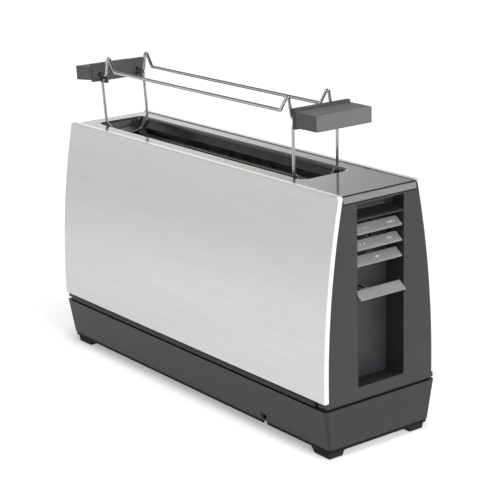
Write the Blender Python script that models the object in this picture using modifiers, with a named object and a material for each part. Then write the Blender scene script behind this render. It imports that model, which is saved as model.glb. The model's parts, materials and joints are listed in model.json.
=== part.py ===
"""Single-slot toaster with a bun-warming rack, built as separate pieces at rest.

Metres, +Z up. The controls face +X, the front panel faces -Y, and the feet stand on Z = 0.
Pieces are placed from the middle of the body; the whole assembly is then shifted along X so
that the origin lies under the middle between the lever and the far end of a level rack.
"""

import math

import bmesh
import bpy
from mathutils import Matrix, Vector

# Fits shared by every piece
GAP = 0.0003
OVERRUN = 0.002
SLIDE_FIT = 0.0006
ROUND_SIDES = 20
SMALL_SIDES = 12
SMOOTH_ANGLE = math.radians(40)
EASE_ANGLE = math.radians(35)
ROUND_PROFILE_SHARE = 0.5
WELD_DISTANCE = 0.000001

# Feet
FOOT_HEIGHT = 0.0096
FOOT_LENGTH = 0.0194
FOOT_WIDTH = 0.0143
FOOT_END_INSET = 0.0044
FOOT_SIDE_INSET = 0.0031
FOOT_FLARE = 0.0015
FOOT_INNER_FLARE = 0.0061
FOOT_INNER_SIDE_FLARE = 0.003

# Body outline
BODY_LENGTH = 0.400
PANEL_HEIGHT = 0.170
BELLY_HALF_WIDTH = 0.0612
BELLY_RISE = 0.0104
BELLY_TOP_LEAN = 0.01709
BELLY_STEPS = 12

# Steel side panels, folded inwards all round
PANEL_RETURN = 0.0046
PANEL_SHEET = 0.0009
PANEL_CORNER = 0.003
PANEL_CORNER_STEPS = 3
PANEL_EDGE = 0.0008

# Base tray
BASE_HEIGHT = 0.0349
BASE_END_PROUD = 0.0001
BASE_SIDE_INSET = 0.0009
BASE_END_TAPER = 0.0017
BASE_SIDE_TAPER = 0.0054
BASE_CORNER = 0.003
BASE_CORNER_STEPS = 2
BASE_FLOOR = 0.0022
BASE_END_WALL = 0.0044
BASE_SIDE_WALL = 0.0039
PLINTH_RISE = 0.0019
PLINTH_BITE = 0.0060
PLINTH_END_INSET = 0.0036
PLINTH_SIDE_INSET = 0.0033

# Screws that hold the base to the chassis flanges
SCREW_FOOT_CLEARANCE = 0.0065
SCREW_WALL_MARGIN = 0.0012
SCREW_SHANK_RADIUS = 0.0016
SCREW_HEAD_RADIUS = 0.0034
SCREW_HEAD_HEIGHT = 0.0018
SCREW_TIP = 0.0016
BOSS_RADIUS = 0.0040

# Lower rails under the panels
RAIL_WIDTH = 0.0066
RAIL_HEIGHT = 0.0043
RAIL_SIDE_INSET = 0.0001

# End caps
CAP_SETBACK = 0.0004
CAP_DEPTH = 0.012
CAP_WALL = 0.0020
CAP_FACE_WALL = 0.0024
TRIM_GROOVE = 0.0008

# End trims, the thin upright lips between the end caps and the top cover
TRIM_HEIGHT = 0.0062
TRIM_THICKNESS = 0.0016
TRIM_FOOT_DEPTH = 0.0080
TRIM_FOOT_HEIGHT = 0.0014
TRIM_TOP_DROP = 0.0006
TRIM_SIDE_CLEARANCE = 0.0005

# Top cover and the funnel of its slot
COVER_DROP = 0.0010
COVER_THICKNESS = 0.0022
COVER_END_GROOVE = 0.0018
SLOT_REAR_MARGIN = 0.0063
SLOT_CONTROL_MARGIN = 0.0051
SLOT_WIDTH = 0.0474
SLOT_CORNER = 0.005
SLOT_CORNER_STEPS = 4
SLOT_RIM_CHAMFER = 0.0010
FUNNEL_DEPTH = 0.0082
FUNNEL_SLOPE = math.radians(36)
FUNNEL_WALL = 0.0018
FUNNEL_END_SLOPE = math.radians(12)

# Recess for keys and lever in the control end
RECESS_HALF_WIDTH = 0.0250
RECESS_TOP_MARGIN = 0.0013
RECESS_BOTTOM_MARGIN = 0.0066
RECESS_DEPTH = 0.0220
RECESS_FLOOR_DROP = 0.0026
RECESS_WALL = 0.0019
RECESS_ROOF_DROP = 0.0002
SHELF_THICKNESS = 0.0013
SHELF_SETBACK = 0.0006

# Display window above the keys, a tilted pane with an upright rim behind it
WINDOW_HEIGHT = 0.0131
WINDOW_THICKNESS = 0.0015
WINDOW_SETBACK = 0.0010
WINDOW_DEPTH = 0.0110
WINDOW_LIP = 0.0005
WINDOW_RISE = 0.0038
WINDOW_RIM_HEIGHT = 0.0025
WINDOW_LINTEL_REACH = 0.0004

# Keys, three tilted slats
KEY_NAMES = ("key_browning", "key_program", "key_cancel")
KEY_SHELF_GAP = 0.0051
KEY_PITCH = 0.0132
KEY_PRESS = 0.0012
KEY_SIDE_CLEARANCE = 0.0008
KEY_FACE_SETBACK = 0.0008
SLAT_RISE = 0.0056
SLAT_SETBACK = 0.0075
SLAT_LIP = 0.0012
SLAT_THICKNESS = 0.0024
STEM_HALF_WIDTH = 0.0035
STEM_HEIGHT = 0.0044
STEM_SLOT_CLEARANCE = 0.0013
KEY_PIVOT_FROM_FACE = 0.0130
KEY_PIN_RADIUS = 0.0010
KEY_PIN_CLEARANCE = 0.0003
PIN_SEAT_HEIGHT = 0.0020
PIN_SEAT_HALF_WIDTH = 0.0028
PIN_SEAT_BITE = 0.0010

# Lever knob and its arm
LEVER_DROP = 0.0275
LEVER_REACH = 0.0035
LEVER_BOTTOM_CLEARANCE = 0.0043
LEVER_SIDE_CLEARANCE = 0.0007
LEVER_BOSS_DEPTH = 0.0085
LEVER_BOSS_WALL = 0.0022
ARM_WALL_DISTANCE = 0.0130
ARM_THICKNESS = 0.0030
ARM_HEIGHT = 0.0060
ARM_RISE = 0.0010
ARM_SOCKET_DEPTH = 0.0050
ARM_SLIT_CLEARANCE = 0.0008

# Control board behind the keys
BOARD_THICKNESS = 0.0016
BOARD_HALF_WIDTH = 0.0230
BOARD_TOP_DROP = 0.0047
BOARD_BOTTOM_REACH = 0.0080
BOARD_STANDOFF = 0.0060
BOARD_POST_RADIUS = 0.0020
BOARD_POST_INSET = 0.0030
SWITCH_SIZE = 0.0060
SWITCH_DEPTH = 0.0026

# Steel chassis
MECHANISM_BAY = 0.0387
CHASSIS_REAR_CLEARANCE = 0.0014
CHASSIS_SHEET = 0.0012
CHASSIS_SIDE_CLEARANCE = 0.0034
CHASSIS_RAIL_CLEARANCE = 0.0005
CHASSIS_SLIT_HALF_WIDTH = 0.0022
FLANGE_SCREW_MARGIN = 0.0058
REFLECTOR_INSET = 0.0030
REFLECTOR_SHEET = 0.0008
REFLECTOR_FLOOR_CLEARANCE = 0.0018
REFLECTOR_TOP_REACH = 0.0030

# Heating elements
CARD_INSET = 0.0030
CARD_THICKNESS = 0.0008
CARD_BOTTOM_RISE = 0.0040
CARD_TOP_DROP = 0.0010
WINDING_THICKNESS = 0.0005
WINDING_WIDTH = 0.0016
WINDING_PASSES = 10
WINDING_END_MARGIN = 0.0120
WINDING_EDGE_MARGIN = 0.0080

# Bread guides that close on the slice as the shelf goes down
GUIDE_INSET = 0.0070
GUIDE_CLOSE_SHARE = 0.261
GUIDE_WIRE_RADIUS = 0.0010
GUIDE_UPRIGHT_RADIUS = 0.00085
GUIDE_WIRES = 12
GUIDE_WIRE_SIDES = 8
GUIDE_DROP = 0.0094
GUIDE_END_MARGIN = 0.0120
GUIDE_SLOT_CLEARANCE = 0.0006
GUIDE_TAIL = 0.0016

# Bread shelf and the carriage that carries it
SHELF_DROP = 0.0005
SHELF_BAR_THICKNESS = 0.0012
SHELF_TEETH = 11
SHELF_TOOTH_SHARE = 0.57
SHELF_BAR_SHARE = 0.56
SHELF_TOOTH_LENGTH = 0.0060
SHELF_END_CLEARANCE = 0.0100
NECK_HALF_THICKNESS = 0.0012
NECK_HEIGHT = 0.0100
CARRIAGE_FROM_PLATE = 0.0118
CARRIAGE_LENGTH = 0.0120
CARRIAGE_HEIGHT = 0.0200
CARRIAGE_DROP = 0.0045
CARRIAGE_ARM_MARGIN = 0.0040
CARRIAGE_ROD_MARGIN = 0.0055
ROD_RADIUS = 0.0025
ROD_RUNNING_FIT = 0.0004
ROD_TIP = 0.0011
BRACKET_THICKNESS = 0.0014
BRACKET_GUIDE_CLEARANCE = 0.0021
BRACKET_SPRING_MARGIN = 0.0039
KEEPER_THICKNESS = 0.0020
KEEPER_WIDTH = 0.0150
KEEPER_LENGTH = 0.0120
MAGNET_CORE_RADIUS = 0.0032
MAGNET_COIL_RADIUS = 0.0066
MAGNET_COIL_MARGIN = 0.0030
SPRING_RADIUS = 0.0038
SPRING_WIRE_RADIUS = 0.0005
SPRING_TURNS = 16
SPRING_POINTS_PER_TURN = 9

# Crumb tray in the base, drawn out at the rear end
TRAY_BOSS_CLEARANCE = 0.0018
TRAY_RUNNER_HEIGHT = 0.0156
TRAY_HEIGHT = 0.0130
TRAY_SHEET = 0.0010
TRAY_END_CLEARANCE = 0.0090
TRAY_FRONT_THICKNESS = 0.0026
TRAY_FRONT_SETBACK = 0.0004
TRAY_GRIP_HALF_WIDTH = 0.0180
TRAY_GRIP_HEIGHT = 0.0046
TRAY_GRIP_DEPTH = 0.0012
TRAY_RUNNER_WIDTH = 0.0026
TRAY_RUNNER_INSET = 0.0020

# Cord outlet and terminal block in the base
OUTLET_FROM_END = 0.0864
OUTLET_HALF_WIDTH = 0.0036
OUTLET_HEIGHT = 0.0068
GLAND_BORE_RADIUS = 0.0022
GLAND_DEPTH = 0.0060
TERMINAL_LENGTH = 0.0300
TERMINAL_WIDTH = 0.0080
TERMINAL_HEIGHT = 0.0120

# Bun-warming rack
RACK_OFFSET = 0.0025
RACK_CLEARANCE = 0.0432
HANDLE_DEPTH = 0.0267
HANDLE_SIDE_OVERHANG = 0.0059
HANDLE_HEIGHT = 0.0136
HANDLE_EDGE = 0.0009
RACK_PLATE_THICKNESS = 0.0040
RACK_PLATE_BOTTOM_REACH = 0.0015
RACK_PLATE_TOP_REACH = 0.0022
RACK_WIRE_RADIUS = 0.0015
RACK_WIRE_LEG_INSET = 0.0021
RACK_WIRE_END_RISE = 0.0052
RACK_WIRE_RUN_RISE = 0.0094
RACK_WIRE_PEAK_RISE = 0.0248
RACK_WIRE_PEAK_IN = 0.0150
RACK_WIRE_FOOT_IN = 0.0105
RACK_WIRE_RUN_IN = 0.0255
RACK_WIRE_BEND = 0.0022
RACK_WIRE_SOCKET = 0.0030
BEND_STEPS = 4
WIRE_RESOLUTION = 2
LEG_IN = 0.0065
LEG_END_CLEARANCE = 0.0104
LEG_HALF_WIDTH = 0.0236
LEG_WIRE_RADIUS = 0.0014
LEG_TOE_DEPTH = 0.0125
LEG_PIVOT_RISE = 0.0002
LEG_FOOT_SAG = 0.0018
LEG_BEND = 0.0030
LEG_PIN_OVERHANG = 0.0008
EAR_THICKNESS = 0.0016
EAR_DEPTH = 0.0058
EAR_BOTTOM_REACH = 0.0034
EAR_TOP_BITE = 0.0026
REAR_HANDLE_LEAN = math.radians(5.5)

# Colours, linear red, green and blue, then roughness and metallic
FINISHES = {
    "brushed_steel": ((0.62, 0.62, 0.63), 0.32, 1.0),
    "gloss_cover": ((0.30, 0.30, 0.31), 0.12, 0.0),
    "dark_plastic": ((0.085, 0.085, 0.095), 0.42, 0.0),
    "base_plastic": ((0.070, 0.070, 0.078), 0.45, 0.0),
    "key_plastic": ((0.25, 0.25, 0.26), 0.38, 0.0),
    "handle_plastic": ((0.22, 0.22, 0.23), 0.45, 0.0),
    "window_black": ((0.010, 0.010, 0.012), 0.08, 0.0),
    "rubber": ((0.030, 0.030, 0.032), 0.80, 0.0),
    "bright_wire": ((0.70, 0.70, 0.71), 0.18, 1.0),
    "galvanised_steel": ((0.45, 0.46, 0.47), 0.40, 1.0),
    "mica": ((0.42, 0.34, 0.22), 0.60, 0.0),
    "nichrome": ((0.30, 0.27, 0.25), 0.45, 1.0),
    "copper": ((0.70, 0.32, 0.16), 0.35, 1.0),
    "circuit_board": ((0.05, 0.16, 0.07), 0.50, 0.0),
    "pale_plastic": ((0.60, 0.58, 0.52), 0.50, 0.0),
}

# Heights, from the feet up to the body's top
BASE_BOTTOM_Z = FOOT_HEIGHT + GAP
BASE_FLOOR_Z = BASE_BOTTOM_Z + BASE_FLOOR
BASE_TOP_Z = BASE_BOTTOM_Z + BASE_HEIGHT
PLINTH_TOP_Z = BASE_TOP_Z + PLINTH_RISE
RAIL_BOTTOM_Z = PLINTH_TOP_Z + GAP
RAIL_TOP_Z = RAIL_BOTTOM_Z + RAIL_HEIGHT
PANEL_BOTTOM_Z = RAIL_TOP_Z + GAP
BELLY_Z = PANEL_BOTTOM_Z + BELLY_RISE
BODY_TOP_Z = PANEL_BOTTOM_Z + PANEL_HEIGHT
BELLY_RISE_TO_TOP = BODY_TOP_Z - BELLY_Z
BELLY_RADIUS = (BELLY_RISE_TO_TOP**2 + BELLY_TOP_LEAN**2) / (2 * BELLY_TOP_LEAN)
TRIM_TOP_Z = BODY_TOP_Z - TRIM_TOP_DROP
TRIM_BOTTOM_Z = TRIM_TOP_Z - TRIM_HEIGHT
CAP_TOP_Z = TRIM_BOTTOM_Z - TRIM_GROOVE
COVER_TOP_Z = BODY_TOP_Z - COVER_DROP
COVER_UNDER_Z = COVER_TOP_Z - COVER_THICKNESS
FUNNEL_LOW_Z = COVER_TOP_Z - FUNNEL_DEPTH
CHASSIS_TOP_Z = COVER_UNDER_Z - GAP
CHASSIS_FLANGE_Z = PLINTH_TOP_Z + GAP
CHASSIS_FLOOR_Z = CHASSIS_FLANGE_Z + CHASSIS_SHEET

# Heights in the control end and of what the lever moves
RECESS_TOP_Z = CAP_TOP_Z - RECESS_TOP_MARGIN
RECESS_BOTTOM_Z = PANEL_BOTTOM_Z + RECESS_BOTTOM_MARGIN
SHELF_Z = RECESS_TOP_Z - WINDOW_HEIGHT - SHELF_THICKNESS
WINDOW_LOW_Z = SHELF_Z + SHELF_THICKNESS + GAP
WINDOW_SLOPE_Z = WINDOW_LOW_Z + WINDOW_LIP + WINDOW_RISE
WINDOW_RIM_Z = WINDOW_SLOPE_Z + WINDOW_RIM_HEIGHT
KEY_TOP_Z = SHELF_Z - KEY_SHELF_GAP - SLAT_RISE - SLAT_LIP
KEY_LOWEST_Z = KEY_TOP_Z - KEY_PITCH * (len(KEY_NAMES) - 1)
LEVER_Z = KEY_LOWEST_Z - LEVER_DROP
LEVER_TRAVEL = LEVER_Z - RECESS_BOTTOM_Z - LEVER_BOTTOM_CLEARANCE
ARM_LOW_Z = LEVER_Z + ARM_RISE
BOARD_TOP_Z = RECESS_TOP_Z - BOARD_TOP_DROP
BOARD_BOTTOM_Z = KEY_LOWEST_Z - BOARD_BOTTOM_REACH
SHELF_BAR_Z = LEVER_Z - SHELF_DROP
CARRIAGE_LOW_Z = LEVER_Z - CARRIAGE_DROP
CARRIAGE_TOP_Z = CARRIAGE_LOW_Z + CARRIAGE_HEIGHT
KEEPER_Z = CARRIAGE_TOP_Z - KEEPER_THICKNESS
MAGNET_TOP_Z = KEEPER_Z - LEVER_TRAVEL - GAP
GUIDE_TOP_Z = FUNNEL_LOW_Z - GUIDE_DROP
GUIDE_BOTTOM_Z = SHELF_BAR_Z - LEVER_TRAVEL
BRACKET_TOP_Z = GUIDE_TOP_Z - GUIDE_WIRE_RADIUS - BRACKET_GUIDE_CLEARANCE
BRACKET_Z = BRACKET_TOP_Z - BRACKET_THICKNESS
ROD_TOP_Z = BRACKET_TOP_Z + ROD_TIP
CARD_BOTTOM_Z = GUIDE_BOTTOM_Z + CARD_BOTTOM_RISE
CARD_TOP_Z = GUIDE_TOP_Z - CARD_TOP_DROP
REFLECTOR_BOTTOM_Z = CHASSIS_FLOOR_Z + REFLECTOR_FLOOR_CLEARANCE
REFLECTOR_TOP_Z = GUIDE_TOP_Z + REFLECTOR_TOP_REACH
TRAY_Z = BASE_FLOOR_Z + TRAY_RUNNER_HEIGHT + GAP

# Places along X, from the body's ends inwards
BODY_HALF = BODY_LENGTH / 2
BASE_TOP_HALF_LENGTH = BODY_HALF + BASE_END_PROUD
BASE_BOTTOM_HALF_LENGTH = BASE_TOP_HALF_LENGTH - BASE_END_TAPER
BASE_INNER_HALF_LENGTH = BASE_BOTTOM_HALF_LENGTH - BASE_END_WALL
FOOT_OUTER_X = BASE_BOTTOM_HALF_LENGTH - FOOT_END_INSET
FOOT_INNER_X = FOOT_OUTER_X - FOOT_LENGTH
SCREW_X = FOOT_INNER_X - FOOT_INNER_FLARE - SCREW_FOOT_CLEARANCE
CAP_FACE_X = BODY_HALF - CAP_SETBACK
CAP_BACK_X = CAP_FACE_X - CAP_DEPTH
COVER_END_X = CAP_FACE_X - TRIM_THICKNESS - COVER_END_GROOVE
RECESS_BACK_X = CAP_FACE_X - RECESS_DEPTH
RECESS_SHELL_X = RECESS_BACK_X - RECESS_WALL
WINDOW_FACE_X = CAP_FACE_X - WINDOW_SETBACK
WINDOW_BACK_X = WINDOW_FACE_X - WINDOW_DEPTH
KEY_FACE_X = CAP_FACE_X - KEY_FACE_SETBACK
KEY_PIVOT_X = CAP_FACE_X - KEY_PIVOT_FROM_FACE
LEVER_FACE_X = CAP_FACE_X + LEVER_REACH
LEVER_BOSS_X = LEVER_FACE_X - SLAT_SETBACK - LEVER_BOSS_DEPTH
BOARD_X = RECESS_SHELL_X - BOARD_STANDOFF
SWITCH_FACE_X = BOARD_X + GAP + SWITCH_DEPTH
CHASSIS_CONTROL_X = RECESS_SHELL_X - MECHANISM_BAY
CHASSIS_REAR_X = CHASSIS_REAR_CLEARANCE - CAP_BACK_X
CHAMBER_LOW_X = CHASSIS_REAR_X + CHASSIS_SHEET + GAP
CHAMBER_HIGH_X = CHASSIS_CONTROL_X - GAP
CARRIAGE_X = CHASSIS_CONTROL_X + CHASSIS_SHEET + CARRIAGE_FROM_PLATE
CARRIAGE_FACE_X = CARRIAGE_X + CARRIAGE_LENGTH / 2
SLOT_LOW_X = CHASSIS_REAR_X + SLOT_REAR_MARGIN
SLOT_HIGH_X = CHASSIS_CONTROL_X - SLOT_CONTROL_MARGIN
SLOT_HALF_LENGTH = (SLOT_HIGH_X - SLOT_LOW_X) / 2
SLOT_CENTRE_X = (SLOT_HIGH_X + SLOT_LOW_X) / 2
TRAY_FRONT_X = TRAY_FRONT_SETBACK - BASE_BOTTOM_HALF_LENGTH
TRAY_INNER_END_X = CHASSIS_CONTROL_X - TRAY_END_CLEARANCE
OUTLET_X = BASE_BOTTOM_HALF_LENGTH - OUTLET_FROM_END


def belly_y(z, inset=0.0):
    """Half the body's width at a height, or that of a line inset from the skin."""
    radius = BELLY_RADIUS - inset
    centre = BELLY_HALF_WIDTH - BELLY_RADIUS
    return centre + math.sqrt(radius**2 - (z - BELLY_Z) ** 2)


# Half widths, from the skin inwards
BASE_TOP_HALF_WIDTH = BELLY_HALF_WIDTH - BASE_SIDE_INSET
BASE_BOTTOM_HALF_WIDTH = BASE_TOP_HALF_WIDTH - BASE_SIDE_TAPER
BASE_INNER_HALF_WIDTH = BASE_BOTTOM_HALF_WIDTH - BASE_SIDE_WALL
FOOT_OUTER_Y = BASE_BOTTOM_HALF_WIDTH - FOOT_SIDE_INSET
FOOT_INNER_Y = FOOT_OUTER_Y - FOOT_WIDTH
SCREW_Y = BASE_INNER_HALF_WIDTH - BOSS_RADIUS - SCREW_WALL_MARGIN
TRAY_HALF_WIDTH = SCREW_Y - BOSS_RADIUS - TRAY_BOSS_CLEARANCE
RAIL_OUTER_Y = BELLY_HALF_WIDTH - RAIL_SIDE_INSET
RAIL_INNER_Y = RAIL_OUTER_Y - RAIL_WIDTH
RETURN_INNER_Y = belly_y(BODY_TOP_Z, PANEL_RETURN)
CHASSIS_FLANGE_HALF_WIDTH = RAIL_INNER_Y - CHASSIS_RAIL_CLEARANCE
CHASSIS_HALF_WIDTH = RETURN_INNER_Y - CHASSIS_SIDE_CLEARANCE
REFLECTOR_Y = CHASSIS_HALF_WIDTH - REFLECTOR_INSET
CARD_Y = REFLECTOR_Y - CARD_INSET
GUIDE_Y = CARD_Y - GUIDE_INSET
GUIDE_CLOSE = GUIDE_Y * GUIDE_CLOSE_SHARE
SHELF_TOOTH_HALF_WIDTH = (GUIDE_Y - GUIDE_WIRE_RADIUS) * SHELF_TOOTH_SHARE
SHELF_BAR_HALF_WIDTH = SHELF_TOOTH_HALF_WIDTH * SHELF_BAR_SHARE
SLOT_HALF_WIDTH = SLOT_WIDTH / 2
KEY_HALF_WIDTH = RECESS_HALF_WIDTH - KEY_SIDE_CLEARANCE
LEVER_HALF_WIDTH = RECESS_HALF_WIDTH - LEVER_SIDE_CLEARANCE
ARM_Y = ARM_WALL_DISTANCE - RECESS_HALF_WIDTH
CARRIAGE_Y_LOW = ARM_Y - CARRIAGE_ARM_MARGIN
CARRIAGE_Y_HIGH = ROD_RADIUS + CARRIAGE_ROD_MARGIN
KEEPER_Y = CARRIAGE_Y_HIGH + GAP + KEEPER_WIDTH / 2
BRACKET_Y_LOW = -ROD_RADIUS - CARRIAGE_ROD_MARGIN
BRACKET_Y_HIGH = KEEPER_Y + SPRING_RADIUS + SPRING_WIRE_RADIUS + BRACKET_SPRING_MARGIN

# The rack, whose legs rest on the funnel's slopes
HANDLE_HALF_WIDTH = LEG_HALF_WIDTH + HANDLE_SIDE_OVERHANG
RACK_WIRE_Y = LEG_HALF_WIDTH - RACK_WIRE_LEG_INSET
RACK_X = SLOT_CENTRE_X - RACK_OFFSET
LEG_REACH = SLOT_HALF_LENGTH - LEG_END_CLEARANCE
RACK_PLATE_FACE = LEG_REACH + LEG_IN
RACK_HALF_LENGTH = RACK_PLATE_FACE + RACK_PLATE_THICKNESS + GAP + HANDLE_DEPTH
HANDLE_BOTTOM_Z = COVER_TOP_Z + RACK_CLEARANCE
HANDLE_TOP_Z = HANDLE_BOTTOM_Z + HANDLE_HEIGHT
RACK_WIRE_END_Z = HANDLE_BOTTOM_Z + RACK_WIRE_END_RISE
RACK_WIRE_RUN_Z = HANDLE_BOTTOM_Z + RACK_WIRE_RUN_RISE
RACK_WIRE_PEAK_Z = HANDLE_BOTTOM_Z + RACK_WIRE_PEAK_RISE
LEG_PIVOT_Z = HANDLE_BOTTOM_Z + LEG_PIVOT_RISE
RACK_WIRE_REAR_END_Z = (
    LEG_PIVOT_Z
    + (RACK_WIRE_END_Z - LEG_PIVOT_Z) * math.cos(REAR_HANDLE_LEAN)
    - (LEG_IN + RACK_WIRE_SOCKET / 2) * math.sin(REAR_HANDLE_LEAN)
)
RACK_SOCKET_CLEARANCE = GAP + RACK_WIRE_SOCKET / 2 * math.sin(REAR_HANDLE_LEAN)
LEG_SIDE_SEAT = (LEG_WIRE_RADIUS + GAP) / math.cos(FUNNEL_SLOPE)
LEG_SIDE_ROOM = SLOT_HALF_WIDTH - LEG_HALF_WIDTH
LEG_SHOULDER_Z = COVER_TOP_Z + (LEG_SIDE_SEAT - LEG_SIDE_ROOM) / math.tan(FUNNEL_SLOPE)
LEG_TOE_Z = LEG_SHOULDER_Z - LEG_TOE_DEPTH
ORIGIN_SHIFT_X = ((RACK_HALF_LENGTH - RACK_X) - LEVER_FACE_X) / 2


def clear_scene():
    """Remove what the scene holds when it opens."""
    for thing in list(bpy.data.objects):
        bpy.data.objects.remove(thing, do_unlink=True)


def make_collection(name):
    """A collection of this name, linked to the scene."""
    made = bpy.data.collections.new(name)
    bpy.context.scene.collection.children.link(made)
    return made


def make_material(name):
    """A Principled material with the finish's colour, roughness and metallic value."""
    colour, roughness, metallic = FINISHES[name]
    made = bpy.data.materials.new(name)
    made.use_nodes = True
    shader = made.node_tree.nodes["Principled BSDF"]
    shader.inputs["Base Color"].default_value = (*colour, 1.0)
    shader.inputs["Roughness"].default_value = roughness
    shader.inputs["Metallic"].default_value = metallic
    return made


def add_object(name, data, location=(0, 0, 0)):
    """An object in the toaster's collection, its origin at the given place."""
    made = bpy.data.objects.new(name, data)
    made.location = location
    PIECES.objects.link(made)
    return made


def mesh_from(bm, name):
    """The bmesh as a mesh with its faces pointing out."""
    bmesh.ops.recalc_face_normals(bm, faces=bm.faces)
    mesh = bpy.data.meshes.new(name)
    bm.to_mesh(mesh)
    bm.free()
    return mesh


def box(name, low, high):
    """A box between two corners."""
    low = Vector(low)
    high = Vector(high)
    bm = bmesh.new()
    bmesh.ops.create_cube(bm, size=1.0)
    bmesh.ops.scale(bm, vec=high - low, verts=bm.verts)
    return add_object(name, mesh_from(bm, name), (low + high) / 2)


def tapered_box(name, low_rect, high_rect, low_z, high_z, corner=0.0, steps=1):
    """A box whose lower and upper rectangles differ, its upright edges rounded.

    A rectangle is (low x, low y, high x, high y).
    """
    bm = bmesh.new()
    bmesh.ops.create_cube(bm, size=1.0)
    for vert in bm.verts:
        rect = high_rect if vert.co.z > 0 else low_rect
        x = rect[2] if vert.co.x > 0 else rect[0]
        y = rect[3] if vert.co.y > 0 else rect[1]
        z = high_z if vert.co.z > 0 else low_z
        vert.co = (x, y, z)
    if corner > 0:
        upright = [
            edge
            for edge in bm.edges
            if abs(edge.verts[0].co.z - edge.verts[1].co.z) > (high_z - low_z) / 2
        ]
        bmesh.ops.bevel(
            bm,
            geom=upright,
            offset=corner,
            segments=steps,
            profile=ROUND_PROFILE_SHARE,
            affect="EDGES",
        )
    return add_object(name, mesh_from(bm, name))


def cylinder(name, radius, start, end, sides=ROUND_SIDES):
    """A cylinder between two points."""
    start = Vector(start)
    end = Vector(end)
    bm = bmesh.new()
    bmesh.ops.create_cone(
        bm,
        cap_ends=True,
        segments=sides,
        radius1=radius,
        radius2=radius,
        depth=(end - start).length,
    )
    turn = (end - start).to_track_quat("Z", "Y").to_matrix()
    bmesh.ops.rotate(bm, matrix=turn, verts=bm.verts)
    made = add_object(name, mesh_from(bm, name), (start + end) / 2)
    shade_round(made)
    return made


def shade_round(thing):
    """Smooth shading that keeps the sharp edges."""
    thing.data.shade_smooth()
    thing.data.set_sharp_from_angle(angle=SMOOTH_ANGLE)


AXIS_FRAMES = {
    "X": Matrix(((0, 0, 1), (1, 0, 0), (0, 1, 0))),
    "Y": Matrix(((1, 0, 0), (0, 0, -1), (0, 1, 0))),
    "Z": Matrix.Identity(3),
}


def extruded(name, outline, axis, low, high):
    """A flat outline extruded between two stations along an axis.

    The outline's points are (y, z) along X, (x, z) along Y and (x, y) along Z.
    """
    curve = bpy.data.curves.new(name, "CURVE")
    curve.dimensions = "2D"
    curve.fill_mode = "BOTH"
    curve.extrude = (high - low) / 2
    spline = curve.splines.new("POLY")
    spline.points.add(len(outline) - 1)
    for point, (u, v) in zip(spline.points, outline):
        point.co = (u, v, 0, 1)
    spline.use_cyclic_u = True
    guide = add_object(name + "_outline", curve)
    station = Vector([(low + high) / 2 if letter == axis else 0 for letter in "XYZ"])
    guide.matrix_world = Matrix.Translation(station) @ AXIS_FRAMES[axis].to_4x4()
    return solid_from_curve(name, guide)


def solid_from_curve(name, guide):
    """The curve's evaluated mesh with its caps welded on; the curve is removed."""
    bpy.context.view_layer.update()
    graph = bpy.context.evaluated_depsgraph_get()
    mesh = bpy.data.meshes.new_from_object(guide.evaluated_get(graph))
    bm = bmesh.new()
    bm.from_mesh(mesh)
    bmesh.ops.remove_doubles(bm, verts=bm.verts, dist=WELD_DISTANCE)
    bmesh.ops.recalc_face_normals(bm, faces=bm.faces)
    bm.to_mesh(mesh)
    bm.free()
    mesh.name = name
    made = add_object(name, mesh)
    made.matrix_world = guide.matrix_world
    bpy.data.objects.remove(guide, do_unlink=True)
    return made


def wire(name, points, radius, resolution=WIRE_RESOLUTION):
    """A round wire along the points, its ends closed."""
    curve = bpy.data.curves.new(name, "CURVE")
    curve.dimensions = "3D"
    curve.bevel_depth = radius
    curve.bevel_resolution = resolution
    curve.use_fill_caps = True
    spline = curve.splines.new("POLY")
    spline.points.add(len(points) - 1)
    for point, place in zip(spline.points, points):
        point.co = (*place, 1)
    spline.use_smooth = True
    return add_object(name, curve)


def bent_path(corners, radius, steps=BEND_STEPS):
    """The corners joined by straight runs, each inner corner bent to the radius."""
    corners = [Vector(corner) for corner in corners]
    path = [corners[0]]
    for before, corner, after in zip(corners, corners[1:], corners[2:]):
        back = (before - corner).normalized()
        ahead = (after - corner).normalized()
        half = back.angle(ahead) / 2
        reach = min(
            radius / math.tan(half),
            (before - corner).length / 2,
            (after - corner).length / 2,
        )
        bend = reach * math.tan(half)
        centre = corner + (back + ahead).normalized() * (bend / math.sin(half))
        first = corner + back * reach - centre
        last = corner + ahead * reach - centre
        for step in range(steps + 1):
            path.append(centre + bend * first.slerp(last, step / steps))
    path.append(corners[-1])
    return path


def combine(target, others, operation):
    """Join or cut the target with other solids, which become hidden helpers."""
    for other in others:
        CUTTERS.objects.link(other)
        PIECES.objects.unlink(other)
        other.hide_render = True
        other.display_type = "WIRE"
        modifier = target.modifiers.new(other.name, "BOOLEAN")
        modifier.operation = operation
        modifier.solver = "EXACT"
        modifier.object = other
    return target


def cut(target, *cutters):
    """The target without the cutters."""
    return combine(target, cutters, "DIFFERENCE")


def join(target, *others):
    """The target with the others joined on."""
    return combine(target, others, "UNION")


def ease_edges(thing, width, segments=1):
    """Round the piece's edges."""
    modifier = thing.modifiers.new("eased_edges", "BEVEL")
    modifier.width = width
    modifier.segments = segments
    modifier.limit_method = "ANGLE"
    modifier.angle_limit = EASE_ANGLE
    modifier.offset_type = "ABSOLUTE"
    return thing


def finish(thing, material_name):
    """Give the piece its material."""
    thing.data.materials.clear()
    thing.data.materials.append(MATERIALS[material_name])
    return thing


def attach(parent, *things):
    """Parent the things where they stand."""
    bpy.context.view_layer.update()
    for thing in things:
        thing.parent = parent
        thing.matrix_parent_inverse = parent.matrix_world.inverted()


def frame_at(name, place, parent):
    """An empty at a joint's place."""
    made = add_object(name, None, place)
    attach(parent, made)
    return made


def heights(low, high, steps=BELLY_STEPS):
    """Evenly spaced heights with both ends."""
    return [low + (high - low) * step / steps for step in range(steps + 1)]


def mirrored_outline(half):
    """A half outline on +Y, bottom to top, closed by its mirror image."""
    return half + [(-y, z) for y, z in reversed(half)]


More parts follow.
